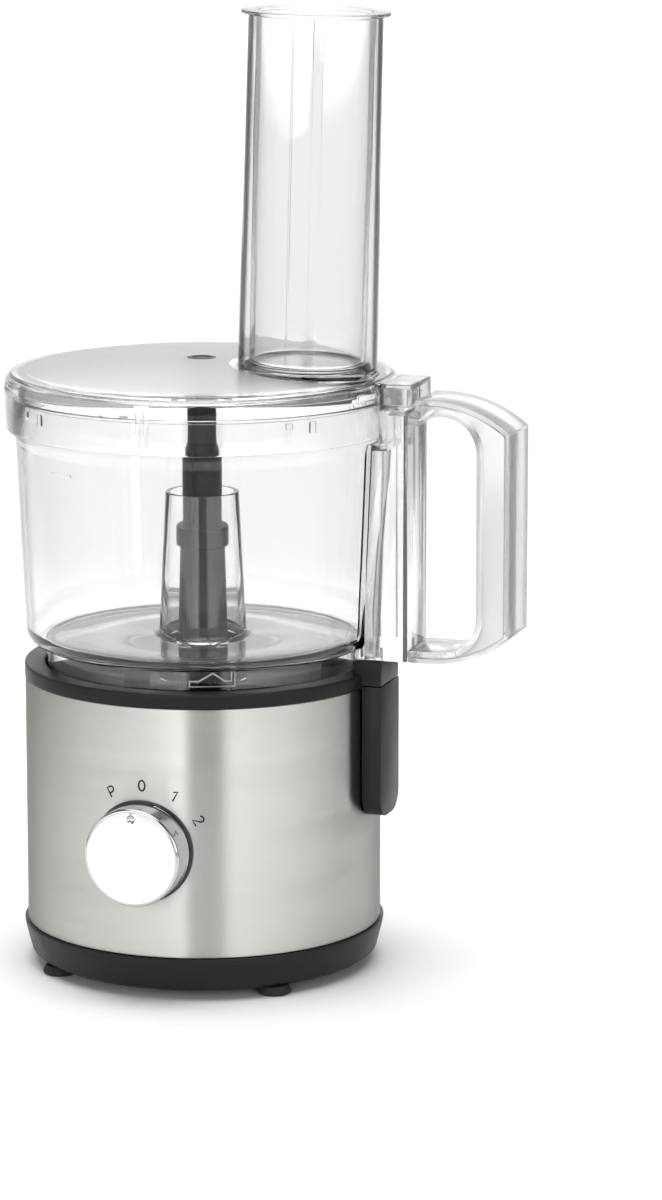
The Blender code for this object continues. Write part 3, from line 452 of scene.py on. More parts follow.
def turned_chrome(name, level):
    """Bright plated knob: near mirror, with faint turning rings on its face about the knob's axis."""
    made, tree, shader = material(name, Metallic=1.0, Base_Color=grey(level))
    where = node(tree, "ShaderNodeVectorMath", {"operation": "SUBTRACT"},
                 i0=node(tree, "ShaderNodeTexCoord").outputs["Object"], i1=(0, 0, KNOB_Z * MM)).outputs[0]
    flat = node(tree, "ShaderNodeMapping", Vector=where, Scale=(1, 0, 1)).outputs[0]
    reach = node(tree, "ShaderNodeVectorMath", {"operation": "LENGTH"}, i0=flat).outputs["Value"]
    rings = node(tree, "ShaderNodeTexNoise", {"noise_dimensions": "1D"}, W=reach, Scale=2600.0,
                 Detail=2.0).outputs["Fac"]
    smudge = noise(tree, where, 70.0, 3.0)
    tree.links.new(ranged(tree, smudge, 0.06, 0.12), shader.inputs["Roughness"])
    bumped(tree, shader, rings, 0.08, 0.00001)
    return made


def machined(name, dark, light, roughness=0.35, stretch=(300.0, 300.0, 300.0)):
    """Bare metal with fine machining marks and a little mottling."""
    made, tree, shader = material(name, Metallic=1.0)
    marks = noise(tree, place_of(tree, stretch), 1.0, 3.0, 0.6)
    mottle = noise(tree, place_of(tree), 45.0, 3.0)
    tree.links.new(tinted(tree, mottle, dark, light), shader.inputs["Base Color"])
    tree.links.new(ranged(tree, marks, roughness - 0.08, roughness + 0.1), shader.inputs["Roughness"])
    bumped(tree, shader, marks, 0.2, 0.00004)
    return made


BLACK = moulded("black_plastic", (0.0090, 0.0095, 0.0093), (0.0125, 0.0130, 0.0128), 0.40, specular=0.21)
BLACK_GLOSS = moulded("black_gloss_plastic", (0.010, 0.0105, 0.010), (0.014, 0.0145, 0.014), 0.25, 900.0, 0.00001)
AXLE_GREY = moulded("axle_plastic", (0.0110, 0.0128, 0.0130), (0.0155, 0.0178, 0.0180), 0.38, 1800.0, specular=0.2)
RUBBER = moulded("rubber", (0.018, 0.018, 0.018), (0.026, 0.026, 0.026), 0.75, 1400.0, 0.00008, 0.3)
WHITE_PLASTIC = moulded("white_plastic", (0.70, 0.70, 0.68), (0.78, 0.78, 0.76), 0.4)
SWITCH_GREY = moulded("switch_plastic", (0.10, 0.10, 0.11), (0.13, 0.13, 0.14), 0.5)
CARBON = moulded("carbon", (0.020, 0.020, 0.021), (0.035, 0.035, 0.036), 0.6, 1200.0)
MARK_INK = moulded("dial_ink", (0.012, 0.012, 0.012), (0.018, 0.018, 0.018), 0.6, 3000.0, specular=0.2)
# Each clear plastic below paints its own edge shade at grazing angles, from pale grey on the grip to near black on the
# feed tube.
CLEAR = clear_plastic("clear_plastic")
CLEAR_BOWL = clear_plastic("clear_bowl_plastic", density=26.0, frost=bracket_haze, edge_shade_where=off_bracket)
MILKY = clear_plastic("milky_plastic", edge=(0.7, 0.7, 0.7), haze=1.8)
CLEAR_GRIP = clear_plastic("clear_grip_plastic", density=7.0, edge=(0.80, 0.81, 0.82), haze=0.5)
# The feed tube's outside carries a near-black painted edge shade, which draws its dark outline.
CLEAR_TUBE = clear_plastic("clear_tube_plastic", (0.50, 0.48, 0.55), 6.0, (0.030, 0.029, 0.042), (0.54, 0.66),
                           edge_shade_where=outer_wall)
CLEAR_LID = clear_plastic("clear_lid_plastic", edge=(0.34, 0.35, 0.37), edge_span=(0.66, 0.86), frost=lid_frost)
STEEL = brushed_steel("brushed_steel")
CHROME = turned_chrome("knob_chrome", 0.58)
# The knob's face takes a brighter copy of the knob's chrome: a painted highlight.
LIT_FACE_CHROME = turned_chrome("knob_face_lit_chrome", 0.93)
BARE_STEEL = machined("bare_steel", (0.50, 0.50, 0.49), (0.60, 0.60, 0.59), 0.32)
TURNED_STEEL = machined("turned_steel", (0.52, 0.52, 0.52), (0.62, 0.62, 0.62), 0.25, (20.0, 20.0, 2200.0))
CAST = machined("cast_alloy", (0.36, 0.37, 0.37), (0.46, 0.47, 0.47), 0.52, (700.0, 700.0, 700.0))
BRONZE = machined("bronze", (0.52, 0.36, 0.17), (0.62, 0.45, 0.23), 0.42, (900.0, 900.0, 900.0))
BRASS = machined("brass", (0.62, 0.46, 0.18), (0.72, 0.55, 0.24), 0.34)
COPPER = machined("copper_wire", (0.55, 0.22, 0.10), (0.76, 0.36, 0.18), 0.36, (60.0, 60.0, 2600.0))
LAMINATIONS = machined("laminations", (0.26, 0.26, 0.27), (0.38, 0.38, 0.38), 0.45, (15.0, 15.0, 2000.0))


# ---------------------------------------------------------------- mesh helpers


def rounded(points, steps=4):
    """A closed outline whose corners that give a radius as their third value are rounded by it."""
    out = []
    for i, point in enumerate(points):
        here = Vector(point[:2])
        if len(point) < 3:
            out.append(tuple(here))
            continue
        before = Vector(points[i - 1][:2]) - here
        after = Vector(points[(i + 1) % len(points)][:2]) - here
        half = before.angle(after) / 2
        reach = min(point[2] / math.tan(half), 0.48 * before.length, 0.48 * after.length)
        start, end = here + before.normalized() * reach, here + after.normalized() * reach
        for k in range(steps + 1):
            t = k / steps
            out.append(tuple((1 - t) ** 2 * start + 2 * t * (1 - t) * here + t * t * end))
    return out


def arc(centre, radius, start, end, steps=8):
    """Points along an arc, from start to end degrees."""
    angles = [math.radians(start + (end - start) * i / steps) for i in range(steps + 1)]
    return [(centre[0] + radius * math.cos(a), centre[1] + radius * math.sin(a)) for a in angles]


def lathe(outline, segments=144, place=(0, 0, 0), along="Z"):
    """Spins a closed outline of (radius, height) about an axis through place."""
    bm = bmesh.new()
    rings = []
    for radius, height in outline:
        count = 1 if radius < 1e-6 else segments
        angles = [2 * math.pi * k / segments for k in range(count)]
        rings.append([bm.verts.new((radius * math.cos(a), radius * math.sin(a), height)) for a in angles])
    for i, ring in enumerate(rings):
        after = rings[(i + 1) % len(rings)]
        if len(ring) == 1 and len(after) == 1:
            continue
        for k in range(segments):
            n = (k + 1) % segments
            loop = [ring[k % len(ring)], ring[n % len(ring)], after[n % len(after)], after[k % len(after)]]
            bm.faces.new(list(dict.fromkeys(loop)))
    if along == "Y":
        bmesh.ops.rotate(bm, matrix=Matrix.Rotation(math.radians(-90), 3, "X"), verts=bm.verts)
    bmesh.ops.translate(bm, vec=place, verts=bm.verts)
    return bm


def prism(outline, low, top, plane="XY"):
    """Extrudes a closed outline between two levels of the axis that plane leaves out."""
    places = {"XY": lambda p, h: (p[0], p[1], h), "XZ": lambda p, h: (p[0], h, p[1]),
              "YZ": lambda p, h: (h, p[0], p[1])}
    put = places[plane]
    bm = bmesh.new()
    floor = [bm.verts.new(put(p, low)) for p in outline]
    roof = [bm.verts.new(put(p, top)) for p in outline]
    for i in range(len(outline)):
        n = (i + 1) % len(outline)
        bm.faces.new((floor[i], floor[n], roof[n], roof[i]))
    bm.faces.new(floor)
    bm.faces.new(roof)
    return bm


def box_outline(x0, x1, y0, y1, r=0.0):
    """A rectangle, with round corners if r is given."""
    if r <= 0:
        return [(x0, y0), (x1, y0), (x1, y1), (x0, y1)]
    return rounded([(x0, y0, r), (x1, y0, r), (x1, y1, r), (x0, y1, r)])


def block(low, high, r=0.0):
    """A box between two corners, with its upright edges rounded by r."""
    return prism(box_outline(low[0], high[0], low[1], high[1], r), low[2], high[2])


def turned_to(bm, degrees):
    """Turns a mesh about the Z axis."""
    bmesh.ops.rotate(bm, matrix=Matrix.Rotation(math.radians(degrees), 3, "Z"), verts=bm.verts)
    return bm


def leaned(bm):
    """Tips a mesh about the feed tube's foot, along with the tube."""
    bmesh.ops.rotate(bm, cent=(TUBE_X, 0, TUBE_FOOT), matrix=Matrix.Rotation(TUBE_LEAN, 3, "Y"), verts=bm.verts)
    return bm


def new_object(name, bm):
    """An object in metres from a mesh drawn in millimetres."""
    bmesh.ops.remove_doubles(bm, verts=bm.verts, dist=1e-4)
    bmesh.ops.recalc_face_normals(bm, faces=bm.faces)
    bmesh.ops.scale(bm, vec=(MM, MM, MM), verts=bm.verts)
    mesh = bpy.data.meshes.new(name)
    bm.to_mesh(mesh)
    bm.free()
    made = bpy.data.objects.new(name, mesh)
    bpy.context.scene.collection.objects.link(made)
    return made


def shaped(name, bm, joins=(), cuts=(), bevel=0.0, bevel_angle=50.0, sharp=34.0):
    """An object from a mesh, with others fused to it or carved from it, its edges softened and shaded smooth."""
    made = new_object(name, bm)
    guides = []
    for operation, others in (("UNION", joins), ("DIFFERENCE", cuts)):
        for other in others:
            guides.append(new_object(name + "_guide", other))
            step = made.modifiers.new("step", "BOOLEAN")
            step.operation = operation
            step.solver = "EXACT"
            step.object = guides[-1]
    if bevel:
        step = made.modifiers.new("soft_edges", "BEVEL")
        step.width = bevel * MM
        step.segments = 2
        step.limit_method = "ANGLE"
        step.angle_limit = math.radians(bevel_angle)
    if made.modifiers:
        bpy.context.view_layer.update()
        evaluated = made.evaluated_get(bpy.context.evaluated_depsgraph_get())
        made.data = bpy.data.meshes.new_from_object(evaluated)
        made.modifiers.clear()
    for guide in guides:
        bpy.data.objects.remove(guide)
    made.data.shade_smooth()
    made.data.set_sharp_from_angle(angle=math.radians(sharp))
    return made


def scaled_mesh(name, bm, cuts, bevel):
    """A carved and softened mesh, given back in millimetres for joining to another."""
    guide = shaped(name, bm, cuts=cuts, bevel=bevel, bevel_angle=60)
    out = bmesh.new()
    out.from_mesh(guide.data)
    bmesh.ops.scale(out, vec=(1 / MM, 1 / MM, 1 / MM), verts=out.verts)
    bpy.data.objects.remove(guide)
    return out


def dress(made, look, body, slot, *nodes):
    """Gives a piece its material and the body it rides on, and hides the CAD nodes it stands for; slot is not used."""
    made.data.materials.clear()
    made.data.materials.append(look)
    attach(made, body)
    if nodes:
        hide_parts(*nodes)
    return made


# ---------------------------------------------------------------- motor base

SCREW_PLACES = [(62.0, 22.6), (-62.0, 22.6), (-62.0, -22.6), (62.0, -22.6)]
CORD_Z = 9.0


def tray():
    """Black lower housing: rounded belly, lip under the steel, vents and screw wells below."""
    outline = rounded([(0, 0), (30, 0, 0.6), (30.8, 0.8), (63, 0.8), (63.8, 0, 0.6), (76.3, 0, 1.2), (78.6, 1.6, 1.6),
                       (80.3, 8, 8), (81.4, 12.5, 3), (BASE_R, 15.0, 0.5), (BASE_R - 0.3, 15.5, 0.3), (79, 15.5),
                       (79, 21.5, 0.4), (77.2, 21.5, 0.4), (76.4, 3.2, 1.5), (0, 3.2)])
    bosses = [lathe([(0, 1.5), (5.6, 1.5), (5.6, 8.0), (0, 8.0)], 32, (x, y, 0)) for x, y in SCREW_PLACES]
    wells = [lathe([(0, -1), (4.0, -1), (4.0, 4.6), (1.9, 4.6), (1.9, 9), (0, 9)], 32, (x, y, 0))
             for x, y in SCREW_PLACES]
    vents = [prism(box_outline(-18, 18, 36 + 5 * i, 38.2 + 5 * i, 1.0), -1, 5) for i in range(5)]
    cord = lathe([(0, 70), (4.4, 70), (4.4, 90), (0, 90)], 32, (0, 0, CORD_Z), "Y")
    made = shaped("tray", lathe(outline, 160), bosses, wells + vents + [cord])
    dress(made, BLACK, "base", "housing_black", "lower_housing")


def sleeve():
    """Brushed steel band with its edges turned, and the holes behind the knob and the pillar."""
    inner = SLEEVE_R - 1.0
    outline = rounded([(inner, SLEEVE_LOW, 0.3), (SLEEVE_R, SLEEVE_LOW, 0.4), (SLEEVE_R, SLEEVE_TOP, 0.4),
                       (inner, SLEEVE_TOP, 0.3)])
    shaft = lathe([(0, -90), (4.5, -90), (4.5, -70), (0, -70)], 24, (0, 0, KNOB_Z), "Y")
    made = shaped("sleeve", lathe(outline, 192), cuts=[shaft, block((70, -7, 76), (90, 7, 98))])
    dress(made, STEEL, "base", "sleeve_steel", "steel_sleeve")


def pillar_plan(r=1.6):
    """Plan of the pillar and its cap, rounded on the outside."""
    half, far = PILLAR_HALF_Y, PILLAR_X
    return rounded([(72.5, -half), (far, -half, r), (far, half, r), (72.5, half)], 6)


def collar():
    """Black top housing: rounded collar, the well for the bowl, its deck, screw bosses and the pillar's cap."""
    r, low, top, well_r, deck, under_deck = COLLAR_R, 128.2, 134.4, 71.2, 114, 111.5
    outline = rounded([(r, low, 0.3), (r, top, 1.3), (well_r, top, 1.2), (well_r, deck, 0.8), (13, deck, 0.4),
                       (13, under_deck), (73.2, under_deck), (73.2, 126.2), (77.2, 126.2), (77.2, 119), (79, 119),
                       (79, low)], 6)
    well = lathe([(0, 125), (76.5, 125), (76.5, 145), (0, 145)], 160)
    cap = scaled_mesh("cap_guide", prism(pillar_plan(), PILLAR_SEAM, CAP_TOP), [well], 0.8)
    bosses = [lathe([(0, 8.3), (5, 8.3), (5, 112.5), (0, 112.5)], 24, (x, y, 0)) for x, y in SCREW_PLACES]
    bores = [lathe([(0, 4), (1.8, 4), (1.8, 22), (0, 22)], 16, (x, y, 0)) for x, y in SCREW_PLACES]
    plunger = lathe([(0, 100), (2.4, 100), (2.4, 150), (0, 150)], 24, (83.6, 0, 0))
    made = shaped("collar", lathe(outline, 160), [cap] + bosses, bores + [plunger])
    dress(made, BLACK, "base", "collar_black", "top_housing")


def pillar():
    """Black cover of the interlock pillar: upright with softened corners, its foot rounded from side to side."""
    half, r, top = PILLAR_HALF_Y, 9.5, PILLAR_SEAM - 0.3
    front = [(-half, top)] + arc((-half + r, PILLAR_LOW + r), r, 180, 270, 10) + arc(
        (half - r, PILLAR_LOW + r), r, 270, 360, 10) + [(half, top)]
    inside = [(-half + 2, 150)] + arc((-half + r, PILLAR_LOW + r + 2), r - 2, 180, 270, 8) + arc(
        (half - r, PILLAR_LOW + r + 2), r - 2, 270, 360, 8) + [(half - 2, 150)]
    seat = lathe([(0, 50), (SLEEVE_R + 0.6, 50), (SLEEVE_R + 0.6, 150), (0, 150)], 160)
    made = shaped("pillar", prism(front, 74, PILLAR_X, "YZ"), cuts=[prism(inside, 70, PILLAR_X - 2.2, "YZ"), seat],
                  bevel=1.7, bevel_angle=60)
    dress(made, BLACK, "base", "pillar_black", "pillar_cover")


def feet():
    """Rubber feet with a grip ring round the sole."""
    outline = rounded([(0, FOOT_LOW), (4.2, FOOT_LOW, 0.2), (4.6, FOOT_LOW + 0.5, 0.2), (5.4, FOOT_LOW + 0.5, 0.2),
                       (5.8, FOOT_LOW, 0.2), (7.0, FOOT_LOW, 0.6), (8.0, -2.8, 0.8), (6.4, -0.3), (2.5, -0.3),
                       (2.5, 4.6), (0, 4.6)], 3)
    for i in range(4):
        angle = math.radians(45 + 90 * i)
        made = shaped(f"rubber_foot_{i + 1}", lathe(outline, 48, (72 * math.cos(angle), 72 * math.sin(angle), 0)))
        dress(made, RUBBER, "base", "foot_rubber", f"foot_{i + 1}")


def gland():
    """Rubber strain relief bush at the back, with two ribs."""
    outline = rounded([(3.1, 72), (4.1, 72), (4.1, 82.2), (6.4, 82.2, 0.4), (6.4, 84.6, 0.6), (5.5, 85.2, 0.3),
                       (5.4, 86.2, 0.2), (5.0, 86.4, 0.2), (5.0, 87.0, 0.2), (5.3, 87.2, 0.2), (5.2, 89, 0.6),
                       (3.1, 89, 0.3)], 3)
    made = shaped("gland", lathe(outline, 48, (0, 0, CORD_Z), "Y"))
    dress(made, RUBBER, "base", "gland_rubber", "cord_gland")


def bezel():
    """Fixed ring behind the knob, following the round of the steel: a bright collar on a thin black seat."""
    r = (BEZEL_HIGH.x - BEZEL_LOW.x) / 2
    face = BEZEL_LOW.y
    steel = lathe([(0, 20), (SLEEVE_R + 0.5, 20), (SLEEVE_R + 0.5, 110), (0, 110)], 192)
    outside = lathe([(SLEEVE_R + 1.7, 20), (120, 20), (120, 110), (SLEEVE_R + 1.7, 110)], 192)
    outline = [(4.5, face), (r, face), (r, -74), (4.5, -74)]
    made = shaped("bezel", lathe(outline, 96, (0, 0, KNOB_Z), "Y"), cuts=[steel, outside])
    dress(made, BLACK_GLOSS, "base", "bezel_black", "knob_bezel")
    seat = lathe([(0, 20), (SLEEVE_R + 1.9, 20), (SLEEVE_R + 1.9, 110), (0, 110)], 192)
    ring = rounded([(r - 3.0, face), (KNOB_R, face, 0.2), (KNOB_R, -74), (r - 3.0, -74)])
    made = shaped("bezel_collar", lathe(ring, 160, (0, 0, KNOB_Z), "Y"), cuts=[seat])
    dress(made, CHROME, "base", "knob_chrome")


def knob():
    """Bright knob: flat face with a fine rounded edge, straight side, hollow back and a dimple."""
    face, back, r = KNOB_FACE_Y, KNOB_HIGH.y, KNOB_R
    skirt_r, boss_r, shaft_r, hollow = 19.6, 7, 3.3, back - 9.0
    outline = rounded([(0, face), (r, face, 1.5), (r, back, 0.3), (skirt_r, back, 0.3), (skirt_r, hollow),
                       (boss_r, hollow), (boss_r, back, 0.3), (shaft_r, back), (shaft_r, face + 4), (0, face + 4)], 8)
    dimple_r, dimple_up, dimple_lift = 2.2, 17.4, 1.0
    dimple = lathe(arc((0, 0), dimple_r, -90, 90, 12), 32, (0, face - dimple_lift, KNOB_Z + dimple_up), "Y")
    made = shaped("control_knob", lathe(outline, 160, (0, 0, KNOB_Z), "Y"), cuts=[dimple])
    dress(made, CHROME, "knob", "knob_chrome", "knob")
    # Faces looking straight to -Y, the knob's face, take the brighter chrome copy: a painted highlight.
    made.data.materials.append(LIT_FACE_CHROME)
    smallest_face = 1.0 * MM * MM
    for polygon in made.data.polygons:
        polygon.material_index = 1 if polygon.normal.y < -0.99 and polygon.area > smallest_face else 0


# Strokes of the dial marks, in millimetres across and up from the middle of each mark
MARKS = {
    "p": (-30, [[(-1.2, -2.4), (-1.2, 2.3), (0.3, 2.3), (1.3, 1.9), (1.6, 1.0), (1.3, 0.1), (0.3, -0.3),
                 (-1.2, -0.3)]]),
    "0": (0, [[(1.45 * x, 2.3 * y) for x, y in arc((0, 0), 1.0, 0, 360, 24)]]),
    "1": (30, [[(-1.2, 1.3), (0.5, 2.4), (0.5, -2.4)]]),
    "2": (60, [[(-1.35, 1.5), (-0.9, 2.2), (0, 2.4), (0.9, 2.15), (1.3, 1.4), (1.1, 0.5), (-1.5, -2.3), (1.6, -2.3)]]),
}
MARK_RING = 29.4
MARK_LINE = 0.38


def drawn_round(name, strokes, line, radius, turn=Matrix.Identity(4), flatten=0.1, closed=False):
    """Strokes given across and up, drawn with a round line and wrapped round the Z axis at a radius."""
    curve = bpy.data.curves.new(name, "CURVE")
    curve.dimensions = "3D"
    curve.bevel_depth = line
    curve.bevel_resolution = 2
    curve.use_fill_caps = True
    for points in strokes:
        spline = curve.splines.new("POLY")
        spline.points.add(len(points) - 1)
        spline.use_cyclic_u = closed
        for place, (x, y) in zip(spline.points, points):
            place.co = (x, 0, y, 1)
    drawn = bpy.data.objects.new(name, curve)
    bpy.context.scene.collection.objects.link(drawn)
    bpy.context.view_layer.update()
    mesh = bpy.data.meshes.new_from_object(drawn.evaluated_get(bpy.context.evaluated_depsgraph_get()))
    bpy.data.objects.remove(drawn)
    mesh.transform(turn)
    for vertex in mesh.vertices:
        reach = radius - flatten * vertex.co.y
        angle = vertex.co.x / radius
        vertex.co = (reach * math.sin(angle), -reach * math.cos(angle), vertex.co.z)
    mesh.transform(Matrix.Scale(MM, 4))
    mesh.name = name
    made = bpy.data.objects.new(name, mesh)
    bpy.context.scene.collection.objects.link(made)
    made.data.shade_smooth()
    return made


def dial_marks():
    """Generic dial marks printed on the steel round the knob."""
    for name, (degrees, strokes) in MARKS.items():
        around = Matrix.Rotation(math.radians(degrees), 4, "Y")
        turn = Matrix.Translation((0, 0, KNOB_Z)) @ around @ Matrix.Translation((0, 0, MARK_RING))
        made = drawn_round("dial_mark_" + name, strokes, MARK_LINE, SLEEVE_R + 0.05, turn)
        dress(made, MARK_INK, "base", "bezel_black")


# ---------------------------------------------------------------- drive axle


def axle():
    """Dark axle: stepped, with a locking ring, long grooves and its pin on top."""
    outline = rounded([(0, AXLE_TOP), (3.0, AXLE_TOP, 0.5), (3.0, 262.5), (6.45, 262.5, 0.8), (6.45, 235, 0.3),
                       (7.5, 234, 0.4), (7.5, 228, 0.3), (8.9, 227, 0.5), (8.9, 194.6, 0.3), (12, 194.6, 0.8),
                       (12, 186.2, 0.6), (10.15, 185.4, 0.3), (11.25, 146), (11.9, 125), (11.9, AXLE_LOW),
                       (0, AXLE_LOW)])
    bore = lathe([(0, 100), (4.6, 100), (4.6, 200), (0, 200)], 32)
    corners_of_six = [(10 * math.cos(math.radians(60 * i)), 10 * math.sin(math.radians(60 * i))) for i in range(6)]
    socket = prism(corners_of_six, 110, 124.3)
    half, past = 1.9, 14.0
    grooves = []
    for side in (-1, 1):
        for depth, low, top in ((5.2, 196, 256), (9.4, 150, 184.5)):
            near, far = sorted((side * depth, side * past))
            grooves.append(block((-half, near, low), (half, far, top)))
    made = shaped("axle", lathe(outline, 96), cuts=[bore, socket] + grooves, bevel=0.25)
    dress(made, AXLE_GREY, "spindle", "axle_grey", "drive_axle")


def bearing_plug():
    """Dark plug in the middle of the lid, slightly dished."""
    outline = rounded([(0, 271.0), (4.2, 271.0, 0.3), (4.6, 271.4, 0.2), (6.25, 271.4, 0.5), (6.25, 263.2),
                       (3.3, 263.2), (3.3, 269), (0, 269)])
    made = shaped("bearing_plug", lathe(outline, 64))
    dress(made, BLACK, "lid_guide", "bearing_black", "lid_bearing")


# ---------------------------------------------------------------- bowl and handle


def wall_r(height):
    """Outer radius of the bowl's wall at a height."""
    share = (height - BOWL_FLOOR) / (BOWL_HIGH - BOWL_FLOOR)
    return BOWL_LOW_R + (BOWL_HIGH_R - BOWL_LOW_R) * share


def skirt_lugs():
    """Raised outlines of the four locking lugs on the skirt: a low bar with a peak on it, and a riser at its end."""
    outline = [(-10.0, 136.0), (10.0, 136.0), (10.0, 142.6), (8.5, 142.6), (8.5, 138.4), (5.5, 138.4), (0.4, 142.0),
               (-5.9, 138.4), (-10.0, 138.4)]
    line, first_azimuth = 0.42, 23
    for i in range(4):
        made = drawn_round(f"skirt_lug_{i + 1}", [outline], line, SKIRT_R, flatten=1.4, closed=True)
        made.data.transform(Matrix.Rotation(math.radians(first_azimuth + 90 * i), 4, "Z"))
        dress(made, MILKY, "bowl", "bowl_clear")


def rim_lug(azimuth, low, height, width):
    """Small locking lug on the outside of the bowl's rim."""
    bm = block((-width / 2, -BOWL_RIM_R - 0.8, low), (width / 2, -BOWL_RIM_R + 1.0, low + height))
    return turned_to(bm, azimuth)


def bowl():
    """Clear bowl with its skirt, open chimney, locking lugs and the bracket that carries the handle."""
    t = WALL
    r = BOWL_RIM_R
    outside = [(SKIRT_R, SKIRT_LOW, 0.8), (SKIRT_R, BOWL_LOW, 0.8)] + arc(
        (wall_r(BOWL_LOW + 7) - 7, BOWL_LOW + 7), 7, -90, 0, 10) + [
        (BOWL_HIGH_R, BOWL_HIGH, 2.0), (r, BOWL_HIGH + 4, 1.0), (r, BOWL_RIM, 0.7)]
    inside = [(r - t, BOWL_RIM, 0.7), (r - t, BOWL_HIGH + 4, 1.0), (BOWL_HIGH_R - t, BOWL_HIGH, 2.0)] + arc(
        (wall_r(BOWL_FLOOR + 7) - t - 6, BOWL_FLOOR + 6), 6, 0, -90, 10)
    chimney = [(22.0, BOWL_FLOOR, 1.0), (19.6, BOWL_FLOOR + 1.8, 1.2), (16.5, 211, 0.6), (14.6, 211, 0.4),
               (17.2, BOWL_LOW, 0.5), (17.2, 130), (19.4, 130), (19.4, BOWL_LOW, 0.6)]
    under = [(SKIRT_R - 2.0, BOWL_LOW, 0.8), (SKIRT_R - 2.0, SKIRT_LOW, 0.5)]
    body = lathe(rounded(outside + inside + chimney + under), 160)
    hollow = lathe([(0, 130), (78.0, 130), (78.0, 151), (BOWL_HIGH_R - 1, BOWL_HIGH), (82.6, BOWL_HIGH + 6),
                    (82.6, 300), (0, 300)], 160)
    ring_way = lathe([(0, 238.2), (89.2, 238.2), (89.2, 300), (0, 300)], 160)
    rod_way = prism([(81.2, 130), (98.8, 130), (98.8, 251.5), (91.4, 251.5), (91.4, 235.5), (84.4, 235.5), (81.2, 160)],
                    -13.3, 13.3, "XZ")
    rod_hole = block((92.1, -2.9, 240), (97.9, 2.9, 260), 0.5)
    bracket = prism(box_outline(70, BRACKET_X, -15.5, 15.5, 2.0), 141.7, 253.7)
    bracket = scaled_mesh("bracket_guide", bracket, [ring_way, rod_way, rod_hole, hollow], 0.5)
    rims = [rim_lug(azimuth, 251.0, 2.4, 3.0) for azimuth in (46, 136, 226, 316)]
    rims += [rim_lug(azimuth, 248.6, 4.8, 3.0) for azimuth in (54, 144, 234, 324)]
    mark_half, mark_z, mark_azimuth = 6, 228, -28
    mark_y = -wall_r(mark_z)
    mark = turned_to(block((-mark_half, mark_y - 0.25, 227.6), (mark_half, mark_y + 0.6, 228.2)), mark_azimuth)
    made = shaped("clear_bowl", body, [bracket] + rims + [mark])
    dress(made, CLEAR_BOWL, "bowl", "bowl_clear", "bowl")
    skirt_lugs()


def handle_side(inset=0.0):
    """Outer side line of the handle, from under the lid's tab round the grip to below it, pulled in by inset."""
    x, step, far = BRACKET_X + 0.3, 104.4 + inset, HANDLE_X - inset
    sweep_x, sweep_r = HANDLE_X - 36.5, 57.0
    r = sweep_r - inset
    end = math.degrees(math.acos((far - 1.0 - sweep_x) / r))
    top = arc((sweep_x, HANDLE_TOP - sweep_r), r, 90, end, 16)
    low = arc((sweep_x, HANDLE_LOW + sweep_r), r, -end, -90, 16)
    start = [(x, 253.4 - inset), (step, 253.4 - inset), (step, HANDLE_TOP - inset)]
    return start + top + [(far, top[-1][1] - 1.2), (far, low[0][1] + 1.2)] + low + [(x, HANDLE_LOW + inset)]


def finger_hole(grow=0.0):
    """Outline of the finger opening, round on the grip's side, grown into the handle by grow."""
    r, x1, z0, z1 = 16.0 + grow, HANDLE_X - 15.0 + grow, 147.0 - grow, 252.3 + grow
    haunch = [(110, z1, 4), (106, 247.6 + grow, 4), (90, 247.6 + grow)]
    return rounded([(90, z0)] + arc((x1 - r, z0 + r), r, -90, 0, 12) + arc((x1 - r, z1 - r), r, 0, 90, 12) + haunch)


def grip():
    """Clear channel of the handle, open to the outside, and the cover that closes it."""
    half = HANDLE_HALF_Y
    channel = scaled_mesh("channel_guide", prism([(103.8, 270), (170, 270), (170, 130), (103.8, 130)], -half + 2.6,
                                                 half - 2.6, "XZ"), [prism(finger_hole(2.6), -20, 20, "XZ")], 0)
    made = shaped("grip_channel", prism(handle_side(2.5), -half, half, "XZ"),
                  cuts=[prism(finger_hole(), -30, 30, "XZ"), channel], bevel=0.9, bevel_angle=55)
    dress(made, CLEAR_GRIP, "bowl", "handle_clear", "handle_frame")
    inside = prism([(80, 253.4 - 2.2)] + handle_side(2.2) + [(80, HANDLE_LOW + 2.2)], -30, 30, "XZ")
    made = shaped("grip_cover", prism(handle_side(), -half, half, "XZ"), cuts=[inside], bevel=0.6, bevel_angle=55)
    dress(made, CLEAR_GRIP, "bowl", "handle_clear", "handle_cover")


# ---------------------------------------------------------------- lid, feed tube and pusher


def dome(radius, drop=0.0):
    """Height of the lid's top at a radius."""
    return DOME_TOP - DOME_DROP * (radius / DOME_R) ** 2 - drop


